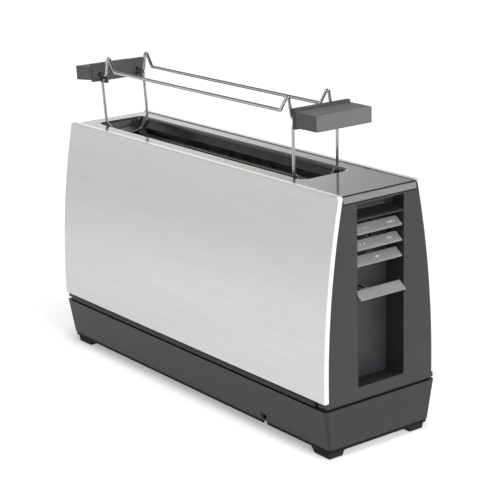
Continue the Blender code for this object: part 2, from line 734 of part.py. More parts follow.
def steel_panel(name, side):
    """A side panel: a curved sheet with a return folded inwards along every edge."""
    zs = heights(PANEL_BOTTOM_Z, BODY_TOP_Z)
    skin = [(side * belly_y(z), z) for z in zs]
    inner = [(side * belly_y(z, PANEL_RETURN), z) for z in reversed(zs)]
    panel = extruded(name, skin + inner, "X", -BODY_HALF, BODY_HALF)
    round_panel_corners(panel)
    ease_edges(panel, PANEL_EDGE)
    hollow_zs = heights(PANEL_BOTTOM_Z + PANEL_SHEET, BODY_TOP_Z - PANEL_SHEET)
    back = [(side * belly_y(z, PANEL_SHEET), z) for z in hollow_zs]
    front = [(side * belly_y(z, PANEL_RETURN + OVERRUN), z) for z in reversed(hollow_zs)]
    reach = BODY_HALF - PANEL_SHEET
    hollow = extruded(name + "_hollow", back + front, "X", -reach, reach)
    round_panel_corners(hollow)
    return finish(cut(panel, hollow), "brushed_steel")


def round_panel_corners(panel):
    """Round the two top corners of a panel or of its hollow, seen from the side."""
    bm = bmesh.new()
    bm.from_mesh(panel.data)
    top = max(vert.co.y for vert in bm.verts)
    end = max(vert.co.z for vert in bm.verts)
    corners = [
        edge
        for edge in bm.edges
        if all(
            abs(vert.co.y - top) < GAP and abs(abs(vert.co.z) - end) < GAP
            for vert in edge.verts
        )
    ]
    bmesh.ops.bevel(
        bm,
        geom=corners,
        offset=PANEL_CORNER,
        segments=PANEL_CORNER_STEPS,
        profile=ROUND_PROFILE_SHARE,
        affect="EDGES",
    )
    bm.to_mesh(panel.data)
    bm.free()


def base_tray():
    """The base: an open tray with tapered walls, a plinth, screw bosses and tray runners."""
    base = tapered_box(
        "base_tray",
        centred_rect(BASE_BOTTOM_HALF_LENGTH, BASE_BOTTOM_HALF_WIDTH),
        centred_rect(BASE_TOP_HALF_LENGTH, BASE_TOP_HALF_WIDTH),
        BASE_BOTTOM_Z,
        BASE_TOP_Z,
        BASE_CORNER,
        BASE_CORNER_STEPS,
    )
    plinth_x = BASE_TOP_HALF_LENGTH - PLINTH_END_INSET
    plinth_y = BASE_TOP_HALF_WIDTH - PLINTH_SIDE_INSET
    plinth = box(
        "base_plinth",
        (-plinth_x, -plinth_y, BASE_TOP_Z - PLINTH_BITE),
        (plinth_x, plinth_y, PLINTH_TOP_Z),
    )
    hollow = box(
        "base_hollow",
        (-BASE_INNER_HALF_LENGTH, -BASE_INNER_HALF_WIDTH, BASE_FLOOR_Z),
        (BASE_INNER_HALF_LENGTH, BASE_INNER_HALF_WIDTH, PLINTH_TOP_Z + OVERRUN),
    )
    join(base, plinth)
    cut(base, hollow)
    runners = []
    for side in (-1, 1):
        ys = sorted(
            (
                side * (TRAY_HALF_WIDTH - TRAY_RUNNER_INSET),
                side * (TRAY_HALF_WIDTH - TRAY_RUNNER_INSET - TRAY_RUNNER_WIDTH),
            )
        )
        runners.append(
            box(
                f"tray_runner_{side}",
                (TRAY_FRONT_X + TRAY_FRONT_THICKNESS + GAP, ys[0], BASE_BOTTOM_Z + GAP),
                (TRAY_INNER_END_X, ys[1], TRAY_Z - GAP),
            )
        )
    join(base, *runners)
    bosses = []
    holes = []
    for x, y in screw_places():
        bosses.append(
            cylinder(
                f"boss_{x:.3f}_{y:.3f}",
                BOSS_RADIUS,
                (x, y, BASE_BOTTOM_Z + GAP),
                (x, y, PLINTH_TOP_Z - GAP),
                SMALL_SIDES,
            )
        )
        holes.append(
            cylinder(
                f"boss_hole_{x:.3f}_{y:.3f}",
                SCREW_SHANK_RADIUS + GAP,
                (x, y, BASE_BOTTOM_Z - OVERRUN),
                (x, y, PLINTH_TOP_Z + OVERRUN),
                SMALL_SIDES,
            )
        )
    join(base, *bosses)
    cut(base, *holes)
    tray_mouth = box(
        "tray_mouth",
        (
            -BASE_TOP_HALF_LENGTH - OVERRUN,
            -TRAY_HALF_WIDTH - SLIDE_FIT,
            TRAY_Z - GAP,
        ),
        (
            -BASE_INNER_HALF_LENGTH + OVERRUN,
            TRAY_HALF_WIDTH + SLIDE_FIT,
            TRAY_Z + TRAY_HEIGHT + SLIDE_FIT,
        ),
    )
    outlet = box(
        "cord_outlet",
        (
            OUTLET_X - OUTLET_HALF_WIDTH,
            -BASE_TOP_HALF_WIDTH - OVERRUN,
            BASE_BOTTOM_Z - OVERRUN,
        ),
        (
            OUTLET_X + OUTLET_HALF_WIDTH,
            -BASE_BOTTOM_HALF_WIDTH + GLAND_DEPTH + GAP,
            BASE_BOTTOM_Z + OUTLET_HEIGHT,
        ),
    )
    cut(base, tray_mouth, outlet)
    return finish(base, "base_plastic")


def centred_rect(half_length, half_width):
    """A rectangle about the middle, as (low x, low y, high x, high y)."""
    return (-half_length, -half_width, half_length, half_width)


def screw_places():
    """The four base screws' places."""
    return [(sx * SCREW_X, sy * SCREW_Y) for sx in (-1, 1) for sy in (-1, 1)]


def feet():
    """Four rubber corner feet whose inner ends slant."""
    made = []
    for x_name, sx in (("control", 1), ("rear", -1)):
        for y_name, sy in (("front", -1), ("back", 1)):
            low = signed_rect(
                sx, sy, FOOT_INNER_X, FOOT_INNER_Y, FOOT_OUTER_X, FOOT_OUTER_Y
            )
            high = signed_rect(
                sx,
                sy,
                FOOT_INNER_X - FOOT_INNER_FLARE,
                FOOT_INNER_Y - FOOT_INNER_SIDE_FLARE,
                FOOT_OUTER_X + FOOT_FLARE,
                FOOT_OUTER_Y + FOOT_FLARE,
            )
            foot = tapered_box(f"foot_{y_name}_{x_name}", low, high, 0.0, FOOT_HEIGHT)
            made.append(finish(foot, "rubber"))
    return made


def signed_rect(sx, sy, low_x, low_y, high_x, high_y):
    """A rectangle of the +X +Y corner moved to the corner with these signs."""
    xs = sorted((sx * low_x, sx * high_x))
    ys = sorted((sy * low_y, sy * high_y))
    return (xs[0], ys[0], xs[1], ys[1])


def base_screw(name, x, y):
    """A screw that holds the base to a chassis flange."""
    screw = cylinder(
        name,
        SCREW_SHANK_RADIUS,
        (x, y, BASE_BOTTOM_Z - SCREW_HEAD_HEIGHT),
        (x, y, CHASSIS_FLOOR_Z + SCREW_TIP),
        SMALL_SIDES,
    )
    head = cylinder(
        name + "_head",
        SCREW_HEAD_RADIUS,
        (x, y, BASE_BOTTOM_Z - GAP - SCREW_HEAD_HEIGHT),
        (x, y, BASE_BOTTOM_Z - GAP),
        SMALL_SIDES,
    )
    return finish(join(screw, head), "galvanised_steel")


def lower_rail(name, side):
    """The dark strip below a panel, which stands on the plinth and carries the panel."""
    ys = sorted((side * RAIL_INNER_Y, side * RAIL_OUTER_Y))
    reach = CAP_BACK_X - GAP
    rail = box(name, (-reach, ys[0], RAIL_BOTTOM_Z), (reach, ys[1], RAIL_TOP_Z))
    return finish(rail, "dark_plastic")


def cap_outline(inset, bottom, top, skirt_y):
    """The end cap's outline: a skirt under the panels, then up inside their returns."""
    skirt_top = RAIL_TOP_Z
    half = [(skirt_y, bottom), (skirt_y, skirt_top)] if skirt_y else []
    low = skirt_top if skirt_y else bottom
    half += [(belly_y(z, inset), z) for z in heights(low, top)]
    return mirrored_outline(half)


def end_cap(name, side):
    """The shell of an end cap, open towards the chassis."""
    inset = PANEL_RETURN + GAP
    faces = sorted((side * CAP_BACK_X, side * CAP_FACE_X))
    shell = extruded(
        name, cap_outline(inset, RAIL_BOTTOM_Z, CAP_TOP_Z, RAIL_OUTER_Y), "X", *faces
    )
    hollow_ends = sorted(
        (side * (CAP_BACK_X - OVERRUN), side * (CAP_FACE_X - CAP_FACE_WALL))
    )
    hollow = extruded(
        name + "_hollow",
        cap_outline(inset + CAP_WALL, RAIL_TOP_Z + CAP_WALL, CAP_TOP_Z - CAP_WALL, 0.0),
        "X",
        *hollow_ends,
    )
    return cut(shell, hollow)


def recess_profile():
    """The recess seen from the side, its floor falling towards the back."""
    return [
        (CAP_FACE_X + OVERRUN, RECESS_BOTTOM_Z),
        (CAP_FACE_X + OVERRUN, RECESS_TOP_Z),
        (RECESS_BACK_X, RECESS_TOP_Z),
        (RECESS_BACK_X, RECESS_BOTTOM_Z - RECESS_FLOOR_DROP),
        (CAP_FACE_X, RECESS_BOTTOM_Z),
    ]


def key_bottom_z(index):
    """The lower edge of a key, counted from the top one."""
    return KEY_LOWEST_Z + KEY_PITCH * (len(KEY_NAMES) - 1 - index)


def stem_z(index):
    """The middle height of a key's stem."""
    return key_bottom_z(index) + SLAT_LIP + SLAT_RISE / 2


def end_cap_control():
    """The control end's cap, with the tall recess that holds window, keys and lever."""
    cap = end_cap("end_cap_control", 1)
    recess_low_z = RECESS_BOTTOM_Z - RECESS_FLOOR_DROP - RECESS_WALL
    shell = box(
        "recess_shell",
        (RECESS_SHELL_X, -RECESS_HALF_WIDTH - RECESS_WALL, recess_low_z),
        (
            CAP_FACE_X - CAP_FACE_WALL / 2,
            RECESS_HALF_WIDTH + RECESS_WALL,
            CAP_TOP_Z - RECESS_ROOF_DROP,
        ),
    )
    posts = []
    for y in (-1, 1):
        for z in (BOARD_BOTTOM_Z + BOARD_POST_INSET, BOARD_TOP_Z - BOARD_POST_INSET):
            place_y = y * (BOARD_HALF_WIDTH - BOARD_POST_INSET)
            posts.append(
                cylinder(
                    f"board_post_{y}_{z:.3f}",
                    BOARD_POST_RADIUS,
                    (BOARD_X + GAP, place_y, z),
                    (RECESS_SHELL_X + RECESS_WALL / 2, place_y, z),
                    SMALL_SIDES,
                )
            )
    join(cap, shell, *posts)
    recess = extruded(
        "recess", recess_profile(), "Y", -RECESS_HALF_WIDTH, RECESS_HALF_WIDTH
    )
    cut(cap, recess)
    shelf = box(
        "window_shelf",
        (
            RECESS_BACK_X - RECESS_WALL / 2,
            -RECESS_HALF_WIDTH - RECESS_WALL / 2,
            SHELF_Z,
        ),
        (
            CAP_FACE_X - SHELF_SETBACK,
            RECESS_HALF_WIDTH + RECESS_WALL / 2,
            SHELF_Z + SHELF_THICKNESS,
        ),
    )
    seat = box(
        "pin_seat",
        (RECESS_BACK_X - RECESS_WALL / 2, -PIN_SEAT_HALF_WIDTH, pin_seat_z()),
        (
            KEY_PIVOT_X + KEY_PIN_RADIUS + PIN_SEAT_HEIGHT,
            PIN_SEAT_HALF_WIDTH,
            pin_seat_z() + PIN_SEAT_HEIGHT,
        ),
    )
    lintel_x = WINDOW_BACK_X + WINDOW_LINTEL_REACH
    lintel = box(
        "window_lintel",
        (
            lintel_x - SHELF_THICKNESS,
            -RECESS_HALF_WIDTH - RECESS_WALL / 2,
            WINDOW_RIM_Z + GAP,
        ),
        (
            lintel_x,
            RECESS_HALF_WIDTH + RECESS_WALL / 2,
            RECESS_TOP_Z + RECESS_TOP_MARGIN / 2,
        ),
    )
    join(cap, shelf, seat, lintel)
    slots = []
    for index, name in enumerate(KEY_NAMES):
        slots.append(
            box(
                name + "_slot",
                (
                    RECESS_SHELL_X - OVERRUN,
                    -STEM_HALF_WIDTH - STEM_SLOT_CLEARANCE,
                    stem_z(index) - STEM_HEIGHT / 2 - GAP,
                ),
                (
                    RECESS_BACK_X + OVERRUN,
                    STEM_HALF_WIDTH + STEM_SLOT_CLEARANCE,
                    stem_z(index) + STEM_HEIGHT / 2 + GAP,
                ),
            )
        )
    lever_slit = box(
        "lever_slit",
        (
            RECESS_SHELL_X - OVERRUN,
            ARM_Y - ARM_THICKNESS / 2 - ARM_SLIT_CLEARANCE,
            ARM_LOW_Z - LEVER_TRAVEL - ARM_SLIT_CLEARANCE,
        ),
        (
            RECESS_BACK_X + OVERRUN,
            ARM_Y + ARM_THICKNESS / 2 + ARM_SLIT_CLEARANCE,
            ARM_LOW_Z + ARM_HEIGHT + ARM_SLIT_CLEARANCE,
        ),
    )
    pin_holes = cylinder(
        "pin_holes",
        KEY_PIN_RADIUS + GAP,
        (KEY_PIVOT_X, 0, pin_seat_z() + PIN_SEAT_BITE - GAP),
        (KEY_PIVOT_X, 0, SHELF_Z + PIN_SEAT_BITE / 2 + GAP),
        SMALL_SIDES,
    )
    cut(cap, *slots, lever_slit, pin_holes)
    return finish(cap, "dark_plastic")


def pin_seat_z():
    """The underside of the ledge between the lowest keys, which holds the key pin."""
    space = KEY_PITCH - SLAT_RISE - SLAT_LIP
    return key_bottom_z(1) - space / 2 - PIN_SEAT_HEIGHT / 2


def end_cap_rear():
    """The plain cap of the other end."""
    return finish(end_cap("end_cap_rear", -1), "dark_plastic")


def end_trim(name, side):
    """The upright lip above an end cap, with a foot under the top cover."""
    outer = CAP_FACE_X
    inner = CAP_FACE_X - TRIM_THICKNESS
    back = inner - TRIM_FOOT_DEPTH
    foot_top = TRIM_BOTTOM_Z + TRIM_FOOT_HEIGHT
    outline = [
        (side * outer, TRIM_BOTTOM_Z),
        (side * outer, TRIM_TOP_Z),
        (side * inner, TRIM_TOP_Z),
        (side * inner, foot_top),
        (side * back, foot_top),
        (side * back, CAP_TOP_Z + GAP),
        (side * inner, CAP_TOP_Z + GAP),
        (side * inner, TRIM_BOTTOM_Z),
    ]
    reach = RETURN_INNER_Y - TRIM_SIDE_CLEARANCE
    return finish(extruded(name, outline, "Y", -reach, reach), "gloss_cover")


def funnel(name, offset, low_z, high_z):
    """A solid of the slot funnel's shape, offset outwards, between two heights."""
    spread = math.tan(FUNNEL_SLOPE)
    end_spread = math.tan(FUNNEL_END_SLOPE)
    rects = []
    for z in (low_z, high_z):
        half_length = SLOT_HALF_LENGTH + offset - (COVER_TOP_Z - z) * end_spread
        half_width = SLOT_HALF_WIDTH + offset - (COVER_TOP_Z - z) * spread
        rects.append(
            (
                SLOT_CENTRE_X - half_length,
                -half_width,
                SLOT_CENTRE_X + half_length,
                half_width,
            )
        )
    return tapered_box(
        name, rects[0], rects[1], low_z, high_z, SLOT_CORNER + offset, SLOT_CORNER_STEPS
    )


def top_cover():
    """The glossy top between the panels, its slot opening into a short funnel."""
    half_width = RETURN_INNER_Y - GAP
    cover = box(
        "top_cover",
        (-COVER_END_X, -half_width, COVER_UNDER_Z),
        (COVER_END_X, half_width, COVER_TOP_Z),
    )
    outer = funnel(
        "funnel_outside", FUNNEL_WALL, FUNNEL_LOW_Z, COVER_UNDER_Z + COVER_THICKNESS / 2
    )
    inner = funnel("funnel_inside", 0.0, FUNNEL_LOW_Z - OVERRUN, COVER_TOP_Z + OVERRUN)
    rim = funnel(
        "slot_rim",
        SLOT_RIM_CHAMFER,
        COVER_TOP_Z - SLOT_RIM_CHAMFER,
        COVER_TOP_Z + OVERRUN,
    )
    join(cover, outer)
    cut(cover, inner, rim)
    return finish(cover, "gloss_cover")


def display_window():
    """The black window above the shelf, its tilted pane rising to an upright rim."""
    outline = [
        (WINDOW_FACE_X, WINDOW_LOW_Z),
        (WINDOW_FACE_X, WINDOW_LOW_Z + WINDOW_LIP),
        (WINDOW_BACK_X, WINDOW_SLOPE_Z),
        (WINDOW_BACK_X, WINDOW_RIM_Z),
        (WINDOW_BACK_X - WINDOW_THICKNESS, WINDOW_RIM_Z),
        (WINDOW_BACK_X - WINDOW_THICKNESS, WINDOW_SLOPE_Z - WINDOW_THICKNESS),
        (WINDOW_FACE_X - 2 * WINDOW_THICKNESS, WINDOW_LOW_Z),
    ]
    reach = RECESS_HALF_WIDTH - GAP
    window = extruded("display_window", outline, "Y", -reach, reach)
    return finish(window, "window_black")


def slat_outline(face_x, bottom_z):
    """A tilted slat seen from the side, its lower edge foremost."""
    lip_z = bottom_z + SLAT_LIP
    top_x = face_x - SLAT_SETBACK
    top_z = lip_z + SLAT_RISE
    return [
        (face_x, bottom_z),
        (face_x, lip_z),
        (top_x, top_z),
        (top_x - SLAT_THICKNESS / 2, top_z),
        (top_x - SLAT_THICKNESS / 2, top_z - SLAT_THICKNESS),
        (face_x - SLAT_THICKNESS, bottom_z),
    ]


def key(index, name):
    """A key: a tilted slat with a stem that reaches through the recess to its switch."""
    slat = extruded(
        name,
        slat_outline(KEY_FACE_X, key_bottom_z(index)),
        "Y",
        -KEY_HALF_WIDTH,
        KEY_HALF_WIDTH,
    )
    middle = stem_z(index)
    rocks = index < len(KEY_NAMES) - 1
    stem_x = SWITCH_FACE_X + GAP + (0 if rocks else KEY_PRESS)
    stem = box(
        name + "_stem",
        (stem_x, -STEM_HALF_WIDTH, middle - STEM_HEIGHT / 2),
        (
            KEY_FACE_X - SLAT_SETBACK,
            STEM_HALF_WIDTH,
            middle + STEM_HEIGHT / 2,
        ),
    )
    join(slat, stem)
    if rocks:
        pin_way = cylinder(
            name + "_pin_way",
            KEY_PIN_RADIUS + KEY_PIN_CLEARANCE,
            (KEY_PIVOT_X, 0, middle - STEM_HEIGHT),
            (KEY_PIVOT_X, 0, middle + STEM_HEIGHT),
            SMALL_SIDES,
        )
        cut(slat, pin_way)
    return finish(slat, "key_plastic")


def key_pin():
    """The upright pin that the two rocker keys turn on."""
    pin = cylinder(
        "key_pin",
        KEY_PIN_RADIUS,
        (KEY_PIVOT_X, 0, pin_seat_z() + PIN_SEAT_BITE),
        (KEY_PIVOT_X, 0, SHELF_Z + PIN_SEAT_BITE / 2),
        SMALL_SIDES,
    )
    return finish(pin, "galvanised_steel")


def lever_knob():
    """The lever's tilted slat, with a boss that takes the end of its arm."""
    knob = extruded(
        "lever_knob",
        slat_outline(LEVER_FACE_X, LEVER_Z),
        "Y",
        -LEVER_HALF_WIDTH,
        LEVER_HALF_WIDTH,
    )
    boss_half = ARM_THICKNESS / 2 + LEVER_BOSS_WALL
    boss = box(
        "lever_boss",
        (LEVER_BOSS_X, ARM_Y - boss_half, LEVER_Z),
        (
            LEVER_FACE_X - SLAT_THICKNESS,
            ARM_Y + boss_half,
            LEVER_Z + SLAT_LIP,
        ),
    )
    block = box(
        "lever_block",
        (LEVER_BOSS_X, ARM_Y - boss_half, LEVER_Z),
        (
            LEVER_FACE_X - SLAT_SETBACK,
            ARM_Y + boss_half,
            LEVER_Z + SLAT_LIP + SLAT_RISE,
        ),
    )
    socket = box(
        "lever_socket",
        (
            LEVER_BOSS_X - OVERRUN,
            ARM_Y - ARM_THICKNESS / 2 - GAP,
            ARM_LOW_Z - GAP,
        ),
        (
            LEVER_BOSS_X + ARM_SOCKET_DEPTH + GAP,
            ARM_Y + ARM_THICKNESS / 2 + GAP,
            ARM_LOW_Z + ARM_HEIGHT + GAP,
        ),
    )
    join(knob, boss, block)
    cut(knob, socket)
    return finish(knob, "key_plastic")


def lever_arm():
    """The flat arm from the carriage through the recess's slit to the knob."""
    arm = box(
        "lever_arm",
        (CARRIAGE_FACE_X + GAP, ARM_Y - ARM_THICKNESS / 2, ARM_LOW_Z),
        (
            LEVER_BOSS_X + ARM_SOCKET_DEPTH,
            ARM_Y + ARM_THICKNESS / 2,
            ARM_LOW_Z + ARM_HEIGHT,
        ),
    )
    return finish(arm, "galvanised_steel")


def carriage_block():
    """The block that runs on the guide rod."""
    block = box(
        "carriage_block",
        (CARRIAGE_X - CARRIAGE_LENGTH / 2, CARRIAGE_Y_LOW, CARRIAGE_LOW_Z),
        (CARRIAGE_FACE_X, CARRIAGE_Y_HIGH, CARRIAGE_TOP_Z),
    )
    bore = cylinder(
        "carriage_bore",
        ROD_RADIUS + ROD_RUNNING_FIT,
        (CARRIAGE_X, 0, CARRIAGE_LOW_Z - OVERRUN),
        (CARRIAGE_X, 0, CARRIAGE_TOP_Z + OVERRUN),
    )
    return finish(cut(block, bore), "pale_plastic")


def keeper_plate():
    """The iron plate on the carriage that the electromagnet holds down."""
    keeper = box(
        "keeper_plate",
        (CARRIAGE_X - KEEPER_LENGTH / 2, CARRIAGE_Y_HIGH + GAP, KEEPER_Z),
        (
            CARRIAGE_X + KEEPER_LENGTH / 2,
            CARRIAGE_Y_HIGH + GAP + KEEPER_WIDTH,
            KEEPER_Z + KEEPER_THICKNESS,
        ),
    )
    return finish(keeper, "galvanised_steel")


def bread_shelf():
    """The long shelf under the slice: a bar with teeth and a neck to the carriage."""
    low_x = CHAMBER_LOW_X + SHELF_END_CLEARANCE
    high_x = CHAMBER_HIGH_X - SHELF_END_CLEARANCE
    top_z = SHELF_BAR_Z + SHELF_BAR_THICKNESS
    shelf = box(
        "bread_shelf",
        (low_x, -SHELF_BAR_HALF_WIDTH, SHELF_BAR_Z),
        (high_x, SHELF_BAR_HALF_WIDTH, top_z),
    )
    pitch = (high_x - low_x - SHELF_TOOTH_LENGTH) / (SHELF_TEETH - 1)
    for index in range(SHELF_TEETH):
        start = low_x + pitch * index
        tooth = box(
            f"shelf_tooth_{index}",
            (start, -SHELF_TOOTH_HALF_WIDTH, SHELF_BAR_Z),
            (start + SHELF_TOOTH_LENGTH, SHELF_TOOTH_HALF_WIDTH, top_z),
        )
        join(shelf, tooth)
    neck = box(
        "shelf_neck",
        (high_x - SHELF_END_CLEARANCE, -NECK_HALF_THICKNESS, SHELF_BAR_Z - GAP),
        (
            CARRIAGE_X - CARRIAGE_LENGTH / 2 - GAP,
            NECK_HALF_THICKNESS,
            SHELF_BAR_Z + NECK_HEIGHT,
        ),
    )
    join(shelf, neck)
    return finish(shelf, "galvanised_steel")


def guide_rod():
    """The rod that the carriage slides on."""
    rod = cylinder(
        "guide_rod",
        ROD_RADIUS,
        (CARRIAGE_X, 0, CHASSIS_FLOOR_Z + GAP),
        (CARRIAGE_X, 0, ROD_TOP_Z),
    )
    return finish(rod, "bright_wire")


def rod_bracket():
    """The bracket that holds the rod's top and the spring's fixed end."""
    bracket = box(
        "rod_bracket",
        (CHASSIS_CONTROL_X + CHASSIS_SHEET + GAP, BRACKET_Y_LOW, BRACKET_Z),
        (
            CARRIAGE_X + CARRIAGE_LENGTH / 2,
            BRACKET_Y_HIGH,
            BRACKET_Z + BRACKET_THICKNESS,
        ),
    )
    hole = cylinder(
        "bracket_hole",
        ROD_RADIUS + GAP,
        (CARRIAGE_X, 0, BRACKET_Z - OVERRUN),
        (CARRIAGE_X, 0, BRACKET_Z + BRACKET_THICKNESS + OVERRUN),
    )
    return finish(cut(bracket, hole), "galvanised_steel")


def return_spring():
    """The spring that lifts the carriage, one unbroken coil from keeper to bracket."""
    low = KEEPER_Z + KEEPER_THICKNESS + GAP + SPRING_WIRE_RADIUS
    high = BRACKET_Z - GAP - SPRING_WIRE_RADIUS
    count = SPRING_TURNS * SPRING_POINTS_PER_TURN
    points = []
    for step in range(count + 1):
        turn = 2 * math.pi * step / SPRING_POINTS_PER_TURN
        points.append(
            (
                CARRIAGE_X + SPRING_RADIUS * math.cos(turn),
                KEEPER_Y + SPRING_RADIUS * math.sin(turn),
                low + (high - low) * step / count,
            )
        )
    gap = least_gap(points, SPRING_POINTS_PER_TURN, SPRING_WIRE_RADIUS)
    print(f"return_spring least gap between turns: {gap * 1000:.2f} mm")
    spring = wire("return_spring", points, SPRING_WIRE_RADIUS, 1)
    return finish(spring, "bright_wire")


def least_gap(points, per_turn, radius):
    """The least clear distance between a coil's turns, measured on its points."""
    places = [Vector(point) for point in points]
    half = per_turn // 2
    least = min(
        (places[i] - places[j]).length
        for i in range(len(places))
        for j in range(i + half, min(i + per_turn + half, len(places)))
    )
    return least - 2 * radius


def electromagnet():
    """The core and the coil that hold the shelf down."""
    core = cylinder(
        "magnet_core",
        MAGNET_CORE_RADIUS,
        (CARRIAGE_X, KEEPER_Y, CHASSIS_FLOOR_Z + GAP),
        (CARRIAGE_X, KEEPER_Y, MAGNET_TOP_Z),
    )
    low = (CARRIAGE_X, KEEPER_Y, CHASSIS_FLOOR_Z + MAGNET_COIL_MARGIN)
    high = (CARRIAGE_X, KEEPER_Y, MAGNET_TOP_Z - MAGNET_COIL_MARGIN)
    coil = cylinder("magnet_coil", MAGNET_COIL_RADIUS, low, high)
    bore = cylinder(
        "magnet_bore",
        MAGNET_CORE_RADIUS + GAP,
        (CARRIAGE_X, KEEPER_Y, CHASSIS_FLOOR_Z),
        (CARRIAGE_X, KEEPER_Y, MAGNET_TOP_Z + OVERRUN),
    )
    cut(coil, bore)
    return [finish(core, "galvanised_steel"), finish(coil, "copper")]


def control_board():
    """The circuit board on its posts behind the recess."""
    board = box(
        "control_board",
        (BOARD_X - BOARD_THICKNESS, -BOARD_HALF_WIDTH, BOARD_BOTTOM_Z),
        (BOARD_X, BOARD_HALF_WIDTH, BOARD_TOP_Z),
    )
    return finish(board, "circuit_board")


def key_switch(index, name):
    """The switch on the board behind a key."""
    half = SWITCH_SIZE / 2
    z = stem_z(index)
    switch = box(name, (BOARD_X + GAP, -half, z - half), (SWITCH_FACE_X, half, z + half))
    return finish(switch, "pale_plastic")


def chassis_end(name, plate_x, flange_x):
    """An upright end plate of the chassis with a flange that stands on the plinth."""
    plate = box(
        name,
        (plate_x, -CHASSIS_HALF_WIDTH, CHASSIS_FLANGE_Z),
        (plate_x + CHASSIS_SHEET, CHASSIS_HALF_WIDTH, CHASSIS_TOP_Z),
    )
    xs = sorted((plate_x + CHASSIS_SHEET / 2, flange_x))
    flange = box(
        name + "_flange",
        (xs[0], -CHASSIS_FLANGE_HALF_WIDTH, CHASSIS_FLANGE_Z),
        (xs[1], CHASSIS_FLANGE_HALF_WIDTH, CHASSIS_FLOOR_Z),
    )
    join(plate, flange)
    for x, y in screw_places():
        if xs[0] < x < xs[1]:
            hole = cylinder(
                f"{name}_hole_{y:.3f}",
                SCREW_SHANK_RADIUS + GAP,
                (x, y, CHASSIS_FLANGE_Z - OVERRUN),
                (x, y, CHASSIS_FLOOR_Z + OVERRUN),
                SMALL_SIDES,
            )
            cut(plate, hole)
    reach = GUIDE_WIRE_RADIUS + GUIDE_SLOT_CLEARANCE
    for side in (-1, 1):
        ys = sorted((side * (GUIDE_Y - GUIDE_CLOSE - reach), side * (GUIDE_Y + reach)))
        for z in (GUIDE_BOTTOM_Z, GUIDE_TOP_Z):
            slot = box(
                f"{name}_slot_{side}_{z:.3f}",
                (plate_x - OVERRUN, ys[0], z - reach),
                (plate_x + CHASSIS_SHEET + OVERRUN, ys[1], z + reach),
            )
            cut(plate, slot)
    return finish(plate, "galvanised_steel")


def chassis_end_control():
    """The end plate between chamber and controls, slit for the shelf's neck."""
    plate = chassis_end(
        "chassis_end_control", CHASSIS_CONTROL_X, SCREW_X + FLANGE_SCREW_MARGIN
    )
    slit = box(
        "neck_slit",
        (
            CHASSIS_CONTROL_X - OVERRUN,
            -CHASSIS_SLIT_HALF_WIDTH,
            SHELF_BAR_Z - LEVER_TRAVEL - ARM_SLIT_CLEARANCE,
        ),
        (
            CHASSIS_CONTROL_X + CHASSIS_SHEET + OVERRUN,
            CHASSIS_SLIT_HALF_WIDTH,
            SHELF_BAR_Z + NECK_HEIGHT + ARM_SLIT_CLEARANCE,
        ),
    )
    return cut(plate, slit)


def chassis_end_rear():
    """The end plate at the far end of the chamber."""
    return chassis_end(
        "chassis_end_rear", CHASSIS_REAR_X, FLANGE_SCREW_MARGIN - SCREW_X
    )


def chamber_sheet(name, y, thickness, low_z, high_z, material_name):
    """An upright sheet along the chamber, between the chassis end plates."""
    ys = sorted((y, y + math.copysign(thickness, y)))
    sheet = box(name, (CHAMBER_LOW_X, ys[0], low_z), (CHAMBER_HIGH_X, ys[1], high_z))
    return finish(sheet, material_name)


def heater_winding(name, side):
    """A flat heating ribbon folded to and fro along the inner face of its card."""
    low_x = CHAMBER_LOW_X + WINDING_END_MARGIN
    high_x = CHAMBER_HIGH_X - WINDING_END_MARGIN
    low_z = CARD_BOTTOM_Z + WINDING_EDGE_MARGIN
    high_z = CARD_TOP_Z - WINDING_EDGE_MARGIN
    pitch = (high_z - low_z) / (WINDING_PASSES - 1)
    half = WINDING_WIDTH / 2
    left = []
    right = []
    for index in range(WINDING_PASSES):
        z = low_z + pitch * index
        if index % 2 == 0:
            right += [(low_x + half, z - half), (high_x + half, z - half)]
            left += [(low_x - half, z + half), (high_x - half, z + half)]
        else:
            right += [(high_x + half, z + half), (low_x + half, z + half)]
            left += [(high_x - half, z - half), (low_x - half, z - half)]
    last_x = low_x if WINDING_PASSES % 2 == 0 else high_x
    for edge in (left, right):
        edge[0] = (low_x, edge[0][1])
        edge[-1] = (last_x, edge[-1][1])
    outline = right + left[::-1]
    ys = sorted(
        (side * (CARD_Y - GAP), side * (CARD_Y - GAP - WINDING_THICKNESS))
    )
    return finish(extruded(name, outline, "Y", *ys), "nichrome")


def guide_grid(name, side):
    """A wire grid beside the slice: two rails with upright wires between them."""
    y = side * GUIDE_Y
    low_x = CHASSIS_REAR_X - GUIDE_TAIL
    high_x = CHASSIS_CONTROL_X + CHASSIS_SHEET + GUIDE_TAIL
    bottom_rail = cylinder(
        name,
        GUIDE_WIRE_RADIUS,
        (low_x, y, GUIDE_BOTTOM_Z),
        (high_x, y, GUIDE_BOTTOM_Z),
        GUIDE_WIRE_SIDES,
    )
    top_rail = cylinder(
        name + "_top",
        GUIDE_WIRE_RADIUS,
        (low_x, y, GUIDE_TOP_Z),
        (high_x, y, GUIDE_TOP_Z),
        GUIDE_WIRE_SIDES,
    )
    join(bottom_rail, top_rail)
    first = CHAMBER_LOW_X + GUIDE_END_MARGIN
    last = CHAMBER_HIGH_X - GUIDE_END_MARGIN
    for index in range(GUIDE_WIRES):
        x = first + (last - first) * index / (GUIDE_WIRES - 1)
        upright = cylinder(
            f"{name}_wire_{index}",
            GUIDE_UPRIGHT_RADIUS,
            (x, y, GUIDE_BOTTOM_Z),
            (x, y, GUIDE_TOP_Z),
            GUIDE_WIRE_SIDES,
        )
        join(bottom_rail, upright)
    return finish(bottom_rail, "bright_wire")


